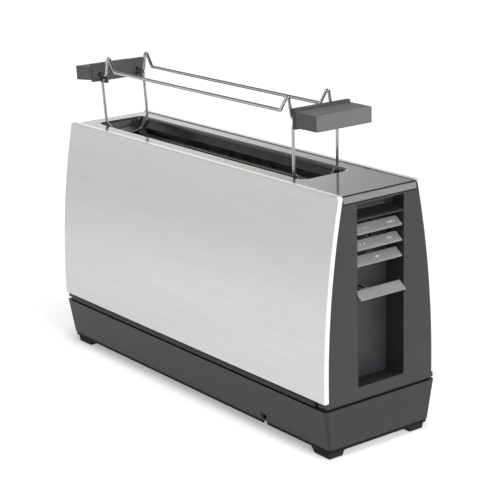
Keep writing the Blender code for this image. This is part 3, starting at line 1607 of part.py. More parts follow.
def crumb_tray():
    """The crumb pan and the plastic front it is drawn out by."""
    front_back_x = TRAY_FRONT_X + TRAY_FRONT_THICKNESS
    top_z = TRAY_Z + TRAY_HEIGHT
    pan = box(
        "crumb_pan",
        (front_back_x + GAP, -TRAY_HALF_WIDTH, TRAY_Z),
        (TRAY_INNER_END_X, TRAY_HALF_WIDTH, top_z),
    )
    hollow = box(
        "pan_hollow",
        (
            front_back_x + GAP + TRAY_SHEET,
            -TRAY_HALF_WIDTH + TRAY_SHEET,
            TRAY_Z + TRAY_SHEET,
        ),
        (
            TRAY_INNER_END_X - TRAY_SHEET,
            TRAY_HALF_WIDTH - TRAY_SHEET,
            top_z + OVERRUN,
        ),
    )
    cut(pan, hollow)
    front = box(
        "crumb_tray_front",
        (TRAY_FRONT_X, -TRAY_HALF_WIDTH, TRAY_Z),
        (front_back_x, TRAY_HALF_WIDTH, top_z),
    )
    grip_z = (TRAY_Z + top_z) / 2
    grip = box(
        "tray_grip",
        (
            TRAY_FRONT_X - OVERRUN,
            -TRAY_GRIP_HALF_WIDTH,
            grip_z - TRAY_GRIP_HEIGHT / 2,
        ),
        (
            TRAY_FRONT_X + TRAY_GRIP_DEPTH,
            TRAY_GRIP_HALF_WIDTH,
            grip_z + TRAY_GRIP_HEIGHT / 2,
        ),
    )
    cut(front, grip)
    return [finish(pan, "galvanised_steel"), finish(front, "base_plastic")]


def cord_gland():
    """The rubber bush in the base's cord outlet."""
    gland = box(
        "cord_gland",
        (
            OUTLET_X - OUTLET_HALF_WIDTH + GAP,
            -BASE_BOTTOM_HALF_WIDTH + GAP,
            BASE_BOTTOM_Z,
        ),
        (
            OUTLET_X + OUTLET_HALF_WIDTH - GAP,
            -BASE_BOTTOM_HALF_WIDTH + GLAND_DEPTH,
            BASE_BOTTOM_Z + OUTLET_HEIGHT - GAP,
        ),
    )
    middle = BASE_BOTTOM_Z + OUTLET_HEIGHT / 2
    bore = cylinder(
        "gland_bore",
        GLAND_BORE_RADIUS,
        (OUTLET_X, -BASE_BOTTOM_HALF_WIDTH - OVERRUN, middle),
        (OUTLET_X, -BASE_BOTTOM_HALF_WIDTH + GLAND_DEPTH + OVERRUN, middle),
        SMALL_SIDES,
    )
    return finish(cut(gland, bore), "rubber")


def terminal_block():
    """The mains terminal block on the base's floor behind the gland."""
    high_y = -TRAY_HALF_WIDTH + TRAY_RUNNER_INSET - GAP
    block = box(
        "terminal_block",
        (
            OUTLET_X - TERMINAL_LENGTH / 2,
            high_y - TERMINAL_WIDTH,
            BASE_FLOOR_Z + GAP,
        ),
        (
            OUTLET_X + TERMINAL_LENGTH / 2,
            high_y,
            BASE_FLOOR_Z + GAP + TERMINAL_HEIGHT,
        ),
    )
    return finish(block, "pale_plastic")


def rack_x(side, reach):
    """A place along the rack, measured from its middle towards one handle."""
    return RACK_X + side * reach


def lean_rear(thing, side):
    """Tip a piece of the rear handle down about its leg's pivot."""
    if side < 0:
        bpy.context.view_layer.update()
        place = thing.matrix_world
        pivot = Matrix.Translation((rack_x(side, LEG_REACH), 0, LEG_PIVOT_Z))
        turn = pivot @ Matrix.Rotation(-REAR_HANDLE_LEAN, 4, "Y") @ pivot.inverted()
        thing.data.transform(place.inverted() @ turn @ place)
    return thing


def rack_block(name, side):
    """The plastic block of a rack handle."""
    xs = sorted(
        (
            rack_x(side, RACK_HALF_LENGTH),
            rack_x(side, RACK_HALF_LENGTH - HANDLE_DEPTH),
        )
    )
    block = box(
        name,
        (xs[0], -HANDLE_HALF_WIDTH, HANDLE_BOTTOM_Z),
        (xs[1], HANDLE_HALF_WIDTH, HANDLE_TOP_Z),
    )
    return lean_rear(finish(ease_edges(block, HANDLE_EDGE), "handle_plastic"), side)


def ear_ys():
    """The inner and outer side of the ear inside a leg's upright."""
    outer = LEG_HALF_WIDTH - LEG_BEND - GAP
    return outer - EAR_THICKNESS, outer


def rack_plate(name, side):
    """The plate inside a handle, with sockets for the wires and ears for the leg."""
    face = RACK_PLATE_FACE
    xs = sorted((rack_x(side, face), rack_x(side, face + RACK_PLATE_THICKNESS)))
    half = HANDLE_HALF_WIDTH
    bottom = HANDLE_BOTTOM_Z - RACK_PLATE_BOTTOM_REACH
    plate = box(
        name,
        (xs[0], -half, bottom),
        (xs[1], half, HANDLE_TOP_Z + RACK_PLATE_TOP_REACH),
    )
    ear_xs = sorted(
        (
            rack_x(side, LEG_REACH - LEG_IN / 2),
            rack_x(side, LEG_REACH - LEG_IN / 2 + EAR_DEPTH + LEG_IN),
        )
    )
    leg_x = rack_x(side, LEG_REACH)
    ears = []
    ways = []
    for hand in (-1, 1):
        ys = sorted(hand * y for y in ear_ys())
        ears.append(
            box(
                f"{name}_ear_{hand}",
                (ear_xs[0], ys[0], LEG_PIVOT_Z - EAR_BOTTOM_REACH),
                (ear_xs[1], ys[1], LEG_PIVOT_Z + EAR_TOP_BITE),
            )
        )
        ways.append(
            cylinder(
                f"{name}_pin_way_{hand}",
                LEG_WIRE_RADIUS + GAP,
                (leg_x, ys[0] - OVERRUN, LEG_PIVOT_Z),
                (leg_x, ys[1] + OVERRUN, LEG_PIVOT_Z),
                SMALL_SIDES,
            )
        )
        y = hand * RACK_WIRE_Y
        ways.append(
            cylinder(
                f"{name}_socket_{hand}",
                RACK_WIRE_RADIUS + RACK_SOCKET_CLEARANCE,
                (rack_x(side, face - OVERRUN), y, RACK_WIRE_END_Z),
                (rack_x(side, face + RACK_WIRE_SOCKET + GAP), y, RACK_WIRE_END_Z),
                SMALL_SIDES,
            )
        )
    for thing in (plate, *ears, *ways):
        lean_rear(thing, side)
    join(plate, *ears)
    cut(plate, *ways)
    return finish(plate, "handle_plastic")


def rack_wire(name, hand):
    """A long rack wire, raised to a peak beside each handle."""
    y = hand * RACK_WIRE_Y
    face = RACK_PLATE_FACE
    corners = []
    for side, end_z in ((-1, RACK_WIRE_REAR_END_Z), (1, RACK_WIRE_END_Z)):
        half = [
            (rack_x(side, face + RACK_WIRE_SOCKET), y, end_z),
            (rack_x(side, face - RACK_WIRE_FOOT_IN), y, end_z),
            (rack_x(side, face - RACK_WIRE_PEAK_IN), y, RACK_WIRE_PEAK_Z),
            (rack_x(side, face - RACK_WIRE_RUN_IN), y, RACK_WIRE_RUN_Z),
        ]
        corners += half[::-side]
    bent = wire(name, bent_path(corners, RACK_WIRE_BEND), RACK_WIRE_RADIUS)
    return finish(bent, "bright_wire")


def leg_wire(name, side):
    """A folding leg: a wire bent to a U that narrows below the slot's rim."""
    x = rack_x(side, LEG_REACH)
    toe_y = LEG_HALF_WIDTH - LEG_TOE_DEPTH * math.tan(FUNNEL_SLOPE)
    pin_y = ear_ys()[0] - LEG_PIN_OVERHANG
    half = [
        (x, -pin_y, LEG_PIVOT_Z),
        (x, -LEG_HALF_WIDTH, LEG_PIVOT_Z),
        (x, -LEG_HALF_WIDTH, LEG_SHOULDER_Z),
        (x, -toe_y, LEG_TOE_Z),
    ]
    foot = [(x, 0.0, LEG_TOE_Z - LEG_FOOT_SAG)]
    other = [(x, -y, z) for x, y, z in reversed(half)]
    bent = wire(name, bent_path(half + foot + other, LEG_BEND), LEG_WIRE_RADIUS)
    return lean_rear(finish(bent, "bright_wire"), side)


def main():
    """Build every piece, then group the moving ones under their joints' frames."""
    root = add_object("toaster", None)
    rack_frame = frame_at("rack_lift", (RACK_X, 0, HANDLE_BOTTOM_Z), root)
    carriage_frame = frame_at("lever_slide", (CARRIAGE_X, 0, CARRIAGE_LOW_Z), root)
    tray_frame = frame_at("crumb_tray_slide", (TRAY_FRONT_X, 0, TRAY_Z), root)

    base_tray()
    feet()
    for index, (x, y) in enumerate(screw_places()):
        base_screw(f"base_screw_{index + 1}", x, y)
    lower_rail("lower_rail_front", -1)
    lower_rail("lower_rail_back", 1)
    steel_panel("panel_front", -1)
    steel_panel("panel_back", 1)
    end_cap_control()
    end_cap_rear()
    end_trim("end_trim_control", 1)
    end_trim("end_trim_rear", -1)
    top_cover()
    display_window()
    key_pin()
    guide_rod()
    rod_bracket()
    return_spring()
    electromagnet()
    control_board()
    chassis_end_control()
    chassis_end_rear()
    for name, side in (("front", -1), ("back", 1)):
        chamber_sheet(
            f"reflector_{name}",
            side * REFLECTOR_Y,
            REFLECTOR_SHEET,
            REFLECTOR_BOTTOM_Z,
            REFLECTOR_TOP_Z,
            "galvanised_steel",
        )
        chamber_sheet(
            f"heater_card_{name}",
            side * CARD_Y,
            CARD_THICKNESS,
            CARD_BOTTOM_Z,
            CARD_TOP_Z,
            "mica",
        )
        heater_winding(f"heater_winding_{name}", side)
    cord_gland()
    terminal_block()

    for index, name in enumerate(KEY_NAMES):
        key_switch(index, name + "_switch")
        made = key(index, name)
        attach(frame_at(name + "_axis", (KEY_PIVOT_X, 0, stem_z(index)), root), made)
    attach(
        carriage_frame,
        lever_knob(),
        lever_arm(),
        carriage_block(),
        keeper_plate(),
        bread_shelf(),
    )
    for name, side in (("front", -1), ("back", 1)):
        grid = guide_grid(f"guide_grid_{name}", side)
        attach(frame_at(f"guide_{name}_slide", (0, side * GUIDE_Y, GUIDE_TOP_Z), root), grid)
    attach(tray_frame, *crumb_tray())
    for name, side in (("control", 1), ("rear", -1)):
        attach(
            rack_frame,
            rack_block(f"rack_block_{name}", side),
            rack_plate(f"rack_plate_{name}", side),
        )
        leg = leg_wire(f"rack_leg_{name}", side)
        pivot = (rack_x(side, LEG_REACH), 0, LEG_PIVOT_Z)
        attach(frame_at(f"leg_{name}_fold", pivot, rack_frame), leg)
    for name, hand in (("front", -1), ("back", 1)):
        attach(rack_frame, rack_wire(f"rack_wire_{name}", hand))

    for thing in bpy.data.objects:
        if thing.parent is None and thing is not root:
            attach(root, thing)
    root.location.x = ORIGIN_SHIFT_X
    bpy.context.view_layer.update()


clear_scene()
PIECES = make_collection("single_slot_toaster")
CUTTERS = make_collection("cutters")
MATERIALS = {name: make_material(name) for name in FINISHES}
main()
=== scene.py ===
"""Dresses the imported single-slot toaster with its bun rack.

The outer pieces are modelled again over their CAD solids with fine edges. The
works inside keep their CAD solids and take procedural finishes. Lengths are in
metres. Shapes are drawn about the middle of the steel sides, and every piece is
then moved to where the CAD has it.
"""

import enum
import json
import logging
import math
from collections.abc import Iterable, Sequence
from dataclasses import dataclass, field

import bmesh
import bpy
from mathutils import Matrix, Vector

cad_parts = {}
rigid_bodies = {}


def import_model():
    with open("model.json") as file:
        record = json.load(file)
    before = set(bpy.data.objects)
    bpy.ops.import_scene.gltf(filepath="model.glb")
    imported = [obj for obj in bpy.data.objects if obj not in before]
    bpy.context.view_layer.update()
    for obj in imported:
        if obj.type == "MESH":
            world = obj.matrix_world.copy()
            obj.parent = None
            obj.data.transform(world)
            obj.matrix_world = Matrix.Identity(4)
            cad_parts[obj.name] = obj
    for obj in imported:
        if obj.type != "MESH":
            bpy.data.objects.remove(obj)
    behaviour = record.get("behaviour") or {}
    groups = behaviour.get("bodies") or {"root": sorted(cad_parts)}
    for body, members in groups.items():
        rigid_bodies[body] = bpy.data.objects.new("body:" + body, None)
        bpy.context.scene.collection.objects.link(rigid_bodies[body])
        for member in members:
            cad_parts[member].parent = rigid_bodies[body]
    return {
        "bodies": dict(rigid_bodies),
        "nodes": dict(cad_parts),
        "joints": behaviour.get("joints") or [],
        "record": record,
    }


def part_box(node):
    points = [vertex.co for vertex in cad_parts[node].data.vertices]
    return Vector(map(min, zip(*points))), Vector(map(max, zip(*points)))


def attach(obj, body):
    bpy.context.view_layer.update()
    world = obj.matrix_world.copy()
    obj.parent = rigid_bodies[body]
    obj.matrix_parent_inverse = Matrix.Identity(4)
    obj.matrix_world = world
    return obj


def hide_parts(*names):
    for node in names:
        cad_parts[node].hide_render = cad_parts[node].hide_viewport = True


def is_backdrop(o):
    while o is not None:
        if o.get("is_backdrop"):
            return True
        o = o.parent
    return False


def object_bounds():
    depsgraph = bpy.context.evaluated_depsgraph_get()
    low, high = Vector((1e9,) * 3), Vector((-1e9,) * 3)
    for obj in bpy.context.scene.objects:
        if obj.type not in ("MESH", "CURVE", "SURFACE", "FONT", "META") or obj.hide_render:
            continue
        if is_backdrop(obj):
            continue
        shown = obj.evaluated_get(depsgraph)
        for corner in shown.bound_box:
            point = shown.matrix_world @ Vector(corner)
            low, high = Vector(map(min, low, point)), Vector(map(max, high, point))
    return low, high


LOG = logging.getLogger("toaster")

Point = tuple[float, float, float]
Flat = tuple[float, float]
Colour = tuple[float, float, float]
Rect = tuple[float, float, float, float]
Socket = bpy.types.NodeSocket


class Slot(enum.Enum):
    """The record's material slots, listed for each piece made here."""

    STEEL = "brushed_steel"
    COVER = "gloss_cover"
    DARK = "dark_plastic"
    BASE = "base_plastic"
    KEY = "key_plastic"
    HANDLE = "handle_plastic"
    WINDOW = "window_black"
    RUBBER = "rubber"
    WIRE = "bright_wire"
    PALE = "pale_plastic"


class Body(enum.Enum):
    """The CAD bodies that the pieces made here ride on."""

    HOUSING = "housing"
    LEVER = "lever_carriage"
    BROWNING = "browning_key"
    PROGRAM = "program_key"
    CANCEL = "cancel_key"
    RACK = "rack"
    LEG_CONTROL = "rack_foot_control"
    LEG_REAR = "rack_foot_rear"


class Axis(enum.Enum):
    """The axis that an outline is drawn out along."""

    X = 0
    Y = 1
    Z = 2


class End(enum.Enum):
    """The two ends of the toaster."""

    CONTROL = 1
    REAR = -1


class Flank(enum.Enum):
    """The two long sides of the toaster."""

    FRONT = -1
    BACK = 1


# Finishes

NOISE_REACH = (0.3, 0.7)
WHITE = (1.0, 1.0, 1.0)
MIX_FACTOR = 0
MIX_FIRST_COLOUR = 6
MIX_SECOND_COLOUR = 7
MIX_COLOUR_OUT = 2


class NodeTree:
    """A tree of nodes, with short ways to add and join them."""

    def __init__(self, tree: bpy.types.NodeTree) -> None:
        """Take over a tree.

        Args:
            tree: The tree of a material or of the world.
        """
        self.tree = tree

    def add(self, kind: str) -> bpy.types.Node:
        """Add a node of a type."""
        return self.tree.nodes.new(kind)

    def link(self, source: Socket, target: Socket) -> None:
        """Join an output to an input."""
        self.tree.links.new(source, target)

    def reckon(self, operation: str, *terms: Socket | float) -> Socket:
        """Reckon with outputs and numbers.

        Args:
            operation: What is done with them.
            terms: The outputs and numbers, in the operation's order.

        Returns:
            The result.
        """
        node = self.add("ShaderNodeMath")
        node.operation = operation
        for term, socket in zip(terms, node.inputs):
            if isinstance(term, float):
                socket.default_value = term
            else:
                self.link(term, socket)
        return node.outputs["Value"]

    def measure(self, operation: str, vector: Socket, point: Point) -> Socket:
        """Measure a vector against a fixed point or direction.

        Args:
            operation: The measure, such as a distance.
            vector: The vector.
            point: The fixed point or direction.

        Returns:
            The measure.
        """
        node = self.add("ShaderNodeVectorMath")
        node.operation = operation
        self.link(vector, node.inputs[0])
        node.inputs[1].default_value = point
        return node.outputs["Value"]

    def fade(self, source: Socket, edges: Flat, values: Flat, kind: str = "LINEAR") -> Socket:
        """A number that goes from one value to another while its source crosses over.

        Args:
            source: The source.
            edges: Where the change starts and ends.
            values: The numbers before and after.
            kind: The way between them.

        Returns:
            The number.
        """
        node = self.add("ShaderNodeMapRange")
        node.interpolation_type = kind
        names = ("From Min", "From Max", "To Min", "To Max")
        for name, value in zip(names, (*edges, *values)):
            node.inputs[name].default_value = value
        self.link(source, node.inputs["Value"])
        return node.outputs["Result"]

    def ramp(self, source: Socket, steps: Sequence[tuple[float, Colour]]) -> Socket:
        """A number turned into a colour.

        Args:
            source: The number.
            steps: Places on the number's way, each with its colour.

        Returns:
            The colour.
        """
        node = self.add("ShaderNodeValToRGB")
        stops = node.color_ramp.elements
        while len(stops) < len(steps):
            stops.new(0.5)
        for stop, (place, colour) in zip(stops, steps):
            stop.position = place
            stop.color = (*colour, 1.0)
        self.link(source, node.inputs["Fac"])
        return node.outputs["Color"]

    def blend(self, factor: Socket, low: Socket | Colour, high: Colour) -> Socket:
        """A colour between two colours.

        Args:
            factor: How much there is of the second colour.
            low: The first colour, or the output that gives it.
            high: The second colour.

        Returns:
            The colour.
        """
        node = self.add("ShaderNodeMix")
        node.data_type = "RGBA"
        self.link(factor, node.inputs[MIX_FACTOR])
        if isinstance(low, tuple):
            node.inputs[MIX_FIRST_COLOUR].default_value = (*low, 1.0)
        else:
            self.link(low, node.inputs[MIX_FIRST_COLOUR])
        node.inputs[MIX_SECOND_COLOUR].default_value = (*high, 1.0)
        return node.outputs[MIX_COLOUR_OUT]


class NodeBoard(NodeTree):
    """A material's nodes."""

    def __init__(self, name: str) -> None:
        """Start a material.

        Args:
            name: The material's name.
        """
        self.material = bpy.data.materials.new(name)
        self.material.use_nodes = True
        super().__init__(self.material.node_tree)
        self.shader = self.tree.nodes["Principled BSDF"]

    def place(self, stretch: Point) -> Socket:
        """The object's own coordinates, stretched.

        Args:
            stretch: The factor along each axis.

        Returns:
            The stretched vector.
        """
        coordinates = self.add("ShaderNodeTexCoord")
        mapping = self.add("ShaderNodeMapping")
        mapping.inputs["Scale"].default_value = stretch
        self.link(coordinates.outputs["Object"], mapping.inputs["Vector"])
        return mapping.outputs["Vector"]

    def noise(self, scale: float, detail: float, stretch: Point = (1.0, 1.0, 1.0)) -> Socket:
        """A noise pattern.

        Args:
            scale: Features per metre.
            detail: Octaves of finer noise.
            stretch: The factor along each axis.

        Returns:
            The noise factor.
        """
        texture = self.add("ShaderNodeTexNoise")
        texture.inputs["Scale"].default_value = scale
        texture.inputs["Detail"].default_value = detail
        self.link(self.place(stretch), texture.inputs["Vector"])
        return texture.outputs["Fac"]

    def cells(self, scale: float, stretch: Point) -> Socket:
        """A pattern of cells, each with its own shade.

        Args:
            scale: Cells per metre.
            stretch: The factor along each axis.

        Returns:
            The cell's shade.
        """
        texture = self.add("ShaderNodeTexVoronoi")
        texture.inputs["Scale"].default_value = scale
        self.link(self.place(stretch), texture.inputs["Vector"])
        parts = self.add("ShaderNodeSeparateColor")
        self.link(texture.outputs["Color"], parts.inputs["Color"])
        return parts.outputs[0]

    def tint(self, pattern: Socket, colour: Colour, contrast: float) -> None:
        """Let a pattern make the surface's colour lighter and darker.

        Args:
            pattern: The pattern.
            colour: The colour in the middle.
            contrast: The share by which it changes.
        """
        low = shaded(colour, 1.0 - contrast)
        high = shaded(colour, 1.0 + contrast)
        self.tint_between(pattern, low, high)

    def tint_between(self, pattern: Socket, low: Colour, high: Colour) -> None:
        """Let a pattern move the surface's colour between two colours."""
        steps = tuple(zip(NOISE_REACH, (low, high)))
        self.link(self.ramp(pattern, steps), self.shader.inputs["Base Color"])

    def roughen(self, pattern: Socket, low: float, high: float) -> None:
        """Let a pattern move the surface's roughness between two numbers."""
        rough = self.fade(pattern, NOISE_REACH, (low, high))
        self.link(rough, self.shader.inputs["Roughness"])

    def relief(self, source: Socket, strength: float, depth: float) -> None:
        """Let a pattern raise the surface.

        Args:
            source: The height.
            strength: How strongly it shows.
            depth: The height's reach in metres.
        """
        bump = self.add("ShaderNodeBump")
        bump.inputs["Strength"].default_value = strength
        bump.inputs["Distance"].default_value = depth
        self.link(source, bump.inputs["Height"])
        self.link(bump.outputs["Normal"], self.shader.inputs["Normal"])

    def number(self, socket: str, value: float) -> None:
        """Set one of the shader's numbers."""
        self.shader.inputs[socket].default_value = value


def grey(tone: float) -> Colour:
    """A grey of a tone, from 0 for black to 1 for white."""
    return (tone, tone, tone)


def shaded(colour: Colour, factor: float) -> Colour:
    """A colour made lighter or darker by a factor."""
    return (colour[0] * factor, colour[1] * factor, colour[2] * factor)


@dataclass(frozen=True)
class BrushedSteel:
    """Stainless sheet brushed lengthwise."""

    name: str = "brushed_stainless"
    colour: Colour = (0.655, 0.655, 0.652)
    roughness: float = 0.36
    anisotropy: float = 0.6
    contrast: float = 0.035
    streaks_per_metre: float = 2600.0
    bands_per_metre: float = 420.0
    streak_stretch: float = 0.02
    broad_share: float = 0.45
    rough_spread: float = 0.06
    relief: float = 0.12
    depth: float = 0.00004

    def make(self) -> bpy.types.Material:
        """Build the material.

        Returns:
            The material.
        """
        board = NodeBoard(self.name)
        stretch = (self.streak_stretch, 1.0, 1.0)
        fine = board.noise(self.streaks_per_metre, 3.0, stretch)
        broad = board.noise(self.bands_per_metre, 2.0, stretch)
        blend = board.add("ShaderNodeMix")
        blend.inputs["Factor"].default_value = self.broad_share
        board.link(fine, blend.inputs["A"])
        board.link(broad, blend.inputs["B"])
        mixed = blend.outputs["Result"]
        board.tint(mixed, self.colour, self.contrast)
        spread = self.rough_spread
        board.roughen(mixed, self.roughness + spread, self.roughness - spread)
        board.number("Metallic", 1.0)
        board.number("Anisotropic", self.anisotropy)
        tangent = board.add("ShaderNodeTangent")
        tangent.direction_type = "UV_MAP"
        board.link(tangent.outputs["Tangent"], board.shader.inputs["Tangent"])
        board.relief(fine, self.relief, self.depth)
        return board.material


@dataclass(frozen=True)
class Metal:
    """Plain metal with drawn streaks or spangles."""

    name: str
    colour: Colour
    roughness: float
    contrast: float = 0.08
    grain_per_metre: float = 700.0
    stretch: Point = (1.0, 1.0, 1.0)
    spangled: bool = False
    depth: float = 0.00003
    metallic: float = 1.0
    rough_share: float = 0.15
    relief: float = 0.15

    def make(self) -> bpy.types.Material:
        """Build the material.

        Returns:
            The material.
        """
        board = NodeBoard(self.name)
        if self.spangled:
            pattern = board.cells(self.grain_per_metre, self.stretch)
        else:
            pattern = board.noise(self.grain_per_metre, 3.0, self.stretch)
        board.tint(pattern, self.colour, self.contrast)
        spread = self.roughness * self.rough_share
        board.roughen(pattern, self.roughness - spread, self.roughness + spread)
        board.number("Metallic", self.metallic)
        board.relief(pattern, self.relief, self.depth)
        return board.material


@dataclass(frozen=True)
class Moulded:
    """Moulded plastic or rubber with a fine grain."""

    name: str
    colour: Colour
    roughness: float
    contrast: float = 0.06
    grain_per_metre: float = 2600.0
    grain_depth: float = 0.00003
    grain_strength: float = 0.25
    mottle_per_metre: float = 45.0
    ior: float = 1.5
    specular: float = 0.5
    coat: float = 0.0
    coat_ior: float = 1.5
    coat_roughness: float = 0.08
    rough_share: float = 0.1

    def make(self) -> bpy.types.Material:
        """Build the material.

        Returns:
            The material.
        """
        board = NodeBoard(self.name)
        mottle = board.noise(self.mottle_per_metre, 4.0)
        grain = board.noise(self.grain_per_metre, 2.0)
        board.tint(mottle, self.colour, self.contrast)
        spread = self.roughness * self.rough_share
        board.roughen(grain, self.roughness - spread, self.roughness + spread)
        board.number("Metallic", 0.0)
        board.number("IOR", self.ior)
        board.number("Specular IOR Level", self.specular)
        board.number("Coat Weight", self.coat)
        board.number("Coat IOR", self.coat_ior)
        board.number("Coat Roughness", self.coat_roughness)
        board.relief(grain, self.grain_strength, self.grain_depth)
        return board.material


@dataclass(frozen=True)
class Laminate:
    """Layered sheet such as mica or a circuit board, in cells of two colours."""

    name: str
    colour: Colour
    second: Colour
    roughness: float
    cells_per_metre: float
    stretch: Point = (1.0, 1.0, 1.0)
    rough_share: float = 0.2
    relief: float = 0.2
    depth: float = 0.00003

    def make(self) -> bpy.types.Material:
        """Build the material.

        Returns:
            The material.
        """
        board = NodeBoard(self.name)
        flakes = board.cells(self.cells_per_metre, self.stretch)
        board.tint_between(flakes, self.colour, self.second)
        spread = self.roughness * self.rough_share
        board.roughen(flakes, self.roughness - spread, self.roughness)
        board.relief(flakes, self.relief, self.depth)
        return board.material


Finish = BrushedSteel | Metal | Moulded | Laminate

STEEL = BrushedSteel()
# A lighter, partly matt copy of the brushed steel for the folded edges: a painted highlight.
STEEL_EDGE_HIGHLIGHT = Metal(
    "steel_edge_painted_highlight",
    (0.90, 0.90, 0.90),
    0.18,
    0.03,
    900.0,
    (1.0, 1.0, 0.05),
    metallic=0.4,
)
COVER_GLOSS = Moulded(
    "glossy_cover_plastic",
    (0.022, 0.022, 0.024),
    0.13,
    contrast=0.05,
    grain_per_metre=220.0,
    grain_depth=0.00002,
    grain_strength=0.08,
    ior=2.1,
    coat=1.0,
    coat_ior=1.9,
    coat_roughness=0.10,
)
# A darker copy of the cover's plastic without its coat, for the walls of the slot: painted
# shade.
FUNNEL_SHADED_GLOSS = Moulded(
    "slot_funnel_painted_shade",
    (0.020, 0.020, 0.022),
    0.18,
    contrast=0.05,
    grain_per_metre=220.0,
    grain_depth=0.00002,
    grain_strength=0.08,
    ior=1.75,
)
LIP_GLOSS = Moulded(
    "upright_lip_gloss",
    (0.158, 0.158, 0.162),
    0.13,
    contrast=0.03,
    grain_per_metre=220.0,
    grain_depth=0.00002,
    grain_strength=0.08,
    ior=1.85,
)
CAP_PLASTIC = Moulded(
    "end_cap_plastic", (0.029, 0.029, 0.033), 0.46, specular=0.5, contrast=0.08
)
BASE_PLASTIC = Moulded(
    "base_tray_plastic", (0.019, 0.019, 0.020), 0.44, specular=0.52, contrast=0.08
)
# Darker than the base: partly the strip's own plastic, partly painted shade under the steel's
# fold.
STRIP_PLASTIC_AND_SHADE = Moulded(
    "lower_strip_plastic_and_shade", (0.011, 0.011, 0.012), 0.50, specular=0.40, contrast=0.08
)
# A near-black rim under the tray: painted shade beneath the base.
SHADE_RIM_DARK = Moulded(
    "base_rim_painted_shade", (0.007, 0.007, 0.007), 0.62, specular=0.20, contrast=0.10
)
KEY_PLASTIC = Moulded("key_satin_plastic", (0.215, 0.214, 0.222), 0.40, specular=0.35)
GRIP_PLASTIC = Moulded(
    "rack_grip_plastic", (0.142, 0.141, 0.149), 0.50, specular=0.28
)
PLATE_PLASTIC = Moulded(
    "rack_plate_plastic", (0.072, 0.072, 0.077), 0.46, specular=0.30
)
WINDOW_GLOSS = Moulded(
    "display_window_gloss",
    (0.016, 0.016, 0.017),
    0.10,
    contrast=0.10,
    grain_per_metre=150.0,
    grain_strength=0.03,
    specular=0.35,
)
FOOT_RUBBER = Moulded(
    "foot_rubber",
    (0.020, 0.020, 0.021),
    0.75,
    contrast=0.12,
    grain_per_metre=1800.0,
    grain_depth=0.00006,
    grain_strength=0.5,
    specular=0.25,
)
RACK_WIRE = Metal(
    "rack_bright_wire", (0.50, 0.50, 0.51), 0.20, 0.05, 500.0, (0.05, 1.0, 1.0)
)
SHEET_STEEL = Metal(
    "galvanised_sheet",
    (0.56, 0.57, 0.58),
    0.42,
    0.10,
    160.0,
    spangled=True,
    metallic=0.4,
)
CHAMBER_STEEL = Metal(
    "heat_stained_sheet", (0.20, 0.19, 0.18), 0.50, 0.25, 90.0, spangled=True
)
GUIDE_STEEL = Metal("guide_grid_wire", (0.34, 0.33, 0.32), 0.30, 0.10, 600.0)
HEATER_RIBBON = Metal("heater_ribbon", (0.26, 0.23, 0.21), 0.48, 0.12, 800.0)
WINDING_COPPER = Metal(
    "enamelled_copper", (0.66, 0.30, 0.14), 0.30, 0.10, 900.0, (0.1, 0.1, 1.0)
)
BLACKENED_STEEL = Metal("blackened_steel", (0.035, 0.035, 0.037), 0.45, 0.15, 800.0)
SPRING_STEEL = Metal("spring_steel_wire", (0.42, 0.42, 0.43), 0.26, 0.08, 900.0)
MICA_SHEET = Laminate(
    "mica_sheet", (0.36, 0.29, 0.18), (0.50, 0.42, 0.28), 0.55, 260.0, (1.0, 1.0, 0.6)
)
BOARD_LAMINATE = Laminate(
    "circuit_laminate", (0.035, 0.12, 0.05), (0.06, 0.20, 0.08), 0.5, 500.0
)
PALE_PLASTIC = Moulded("heat_proof_pale_plastic", (0.58, 0.56, 0.50), 0.48)
LABEL_INK = Moulded(
    "printed_label_ink", (0.60, 0.60, 0.61), 0.55, 0.04, 3000.0, 0.000005, 0.1
)


# Solids


@dataclass(frozen=True)
class Belly:
    """The bowed outline that the steel sides follow from bottom to top."""

    half_width: float = 0.0612
    widest_z: float = 0.0620
    top_z: float = 0.2216
    top_lean: float = 0.01709

    def y(self, z: float, inset: float = 0.0) -> float:
        """Half the body's width at a height.

        Args:
            z: The height.
            inset: How far inside the skin.

        Returns:
            The distance from the middle plane.
        """
        rise = self.top_z - self.widest_z
        radius = (rise**2 + self.top_lean**2) / (2 * self.top_lean)
        inner = radius - inset
        drop = inner - math.sqrt(inner**2 - (z - self.widest_z) ** 2)
        return self.half_width - inset - drop


@dataclass(frozen=True)
class Frame:
    """Sizes that several sub-assemblies share."""

    gap: float = 0.0003
    over: float = 0.002
    half_length: float = 0.2000
    panel_bottom_z: float = 0.0516
    panel_return: float = 0.0046
    rail_bottom_z: float = 0.0470
    rail_top_z: float = 0.0513
    rail_outer_y: float = 0.0611
    rail_inner_y: float = 0.0545
    cap_face_x: float = 0.1996
    cap_back_x: float = 0.1876
    cap_top_z: float = 0.2140
    cover_top_z: float = 0.2206
    recess_half_width: float = 0.0250
    recess_bottom_z: float = 0.0582
    recess_top_z: float = 0.2127
    recess_back_x: float = 0.1776
    shelf_z: float = 0.1983
    shelf_thickness: float = 0.0013
    key_lowest_z: float = 0.1600
    key_pitch: float = 0.0132
    stem_half_width: float = 0.0035
    stem_height: float = 0.0044
    pin_x: float = 0.1866
    pin_radius: float = 0.0013
    slot_half_width: float = 0.0237
    funnel_slope: float = 36.0
    lever_z: float = 0.1325
    arm_y: float = -0.0120
    rack_x: float = -0.0265
    belly: Belly = field(default_factory=Belly)


FRAME = Frame()


def steps_between(low: float, high: float, steps: int) -> list[float]:
    """Evenly spaced numbers with both ends."""
    return [low + (high - low) * step / steps for step in range(steps + 1)]


def around(middle: float, reach: float) -> Flat:
    """A span about a middle, as its low and high end."""
    return (middle - reach, middle + reach)


def centred(half_length: float, half_width: float) -> Rect:
    """A rectangle about the middle, as low x, low y, high x, high y."""
    return (-half_length, -half_width, half_length, half_width)


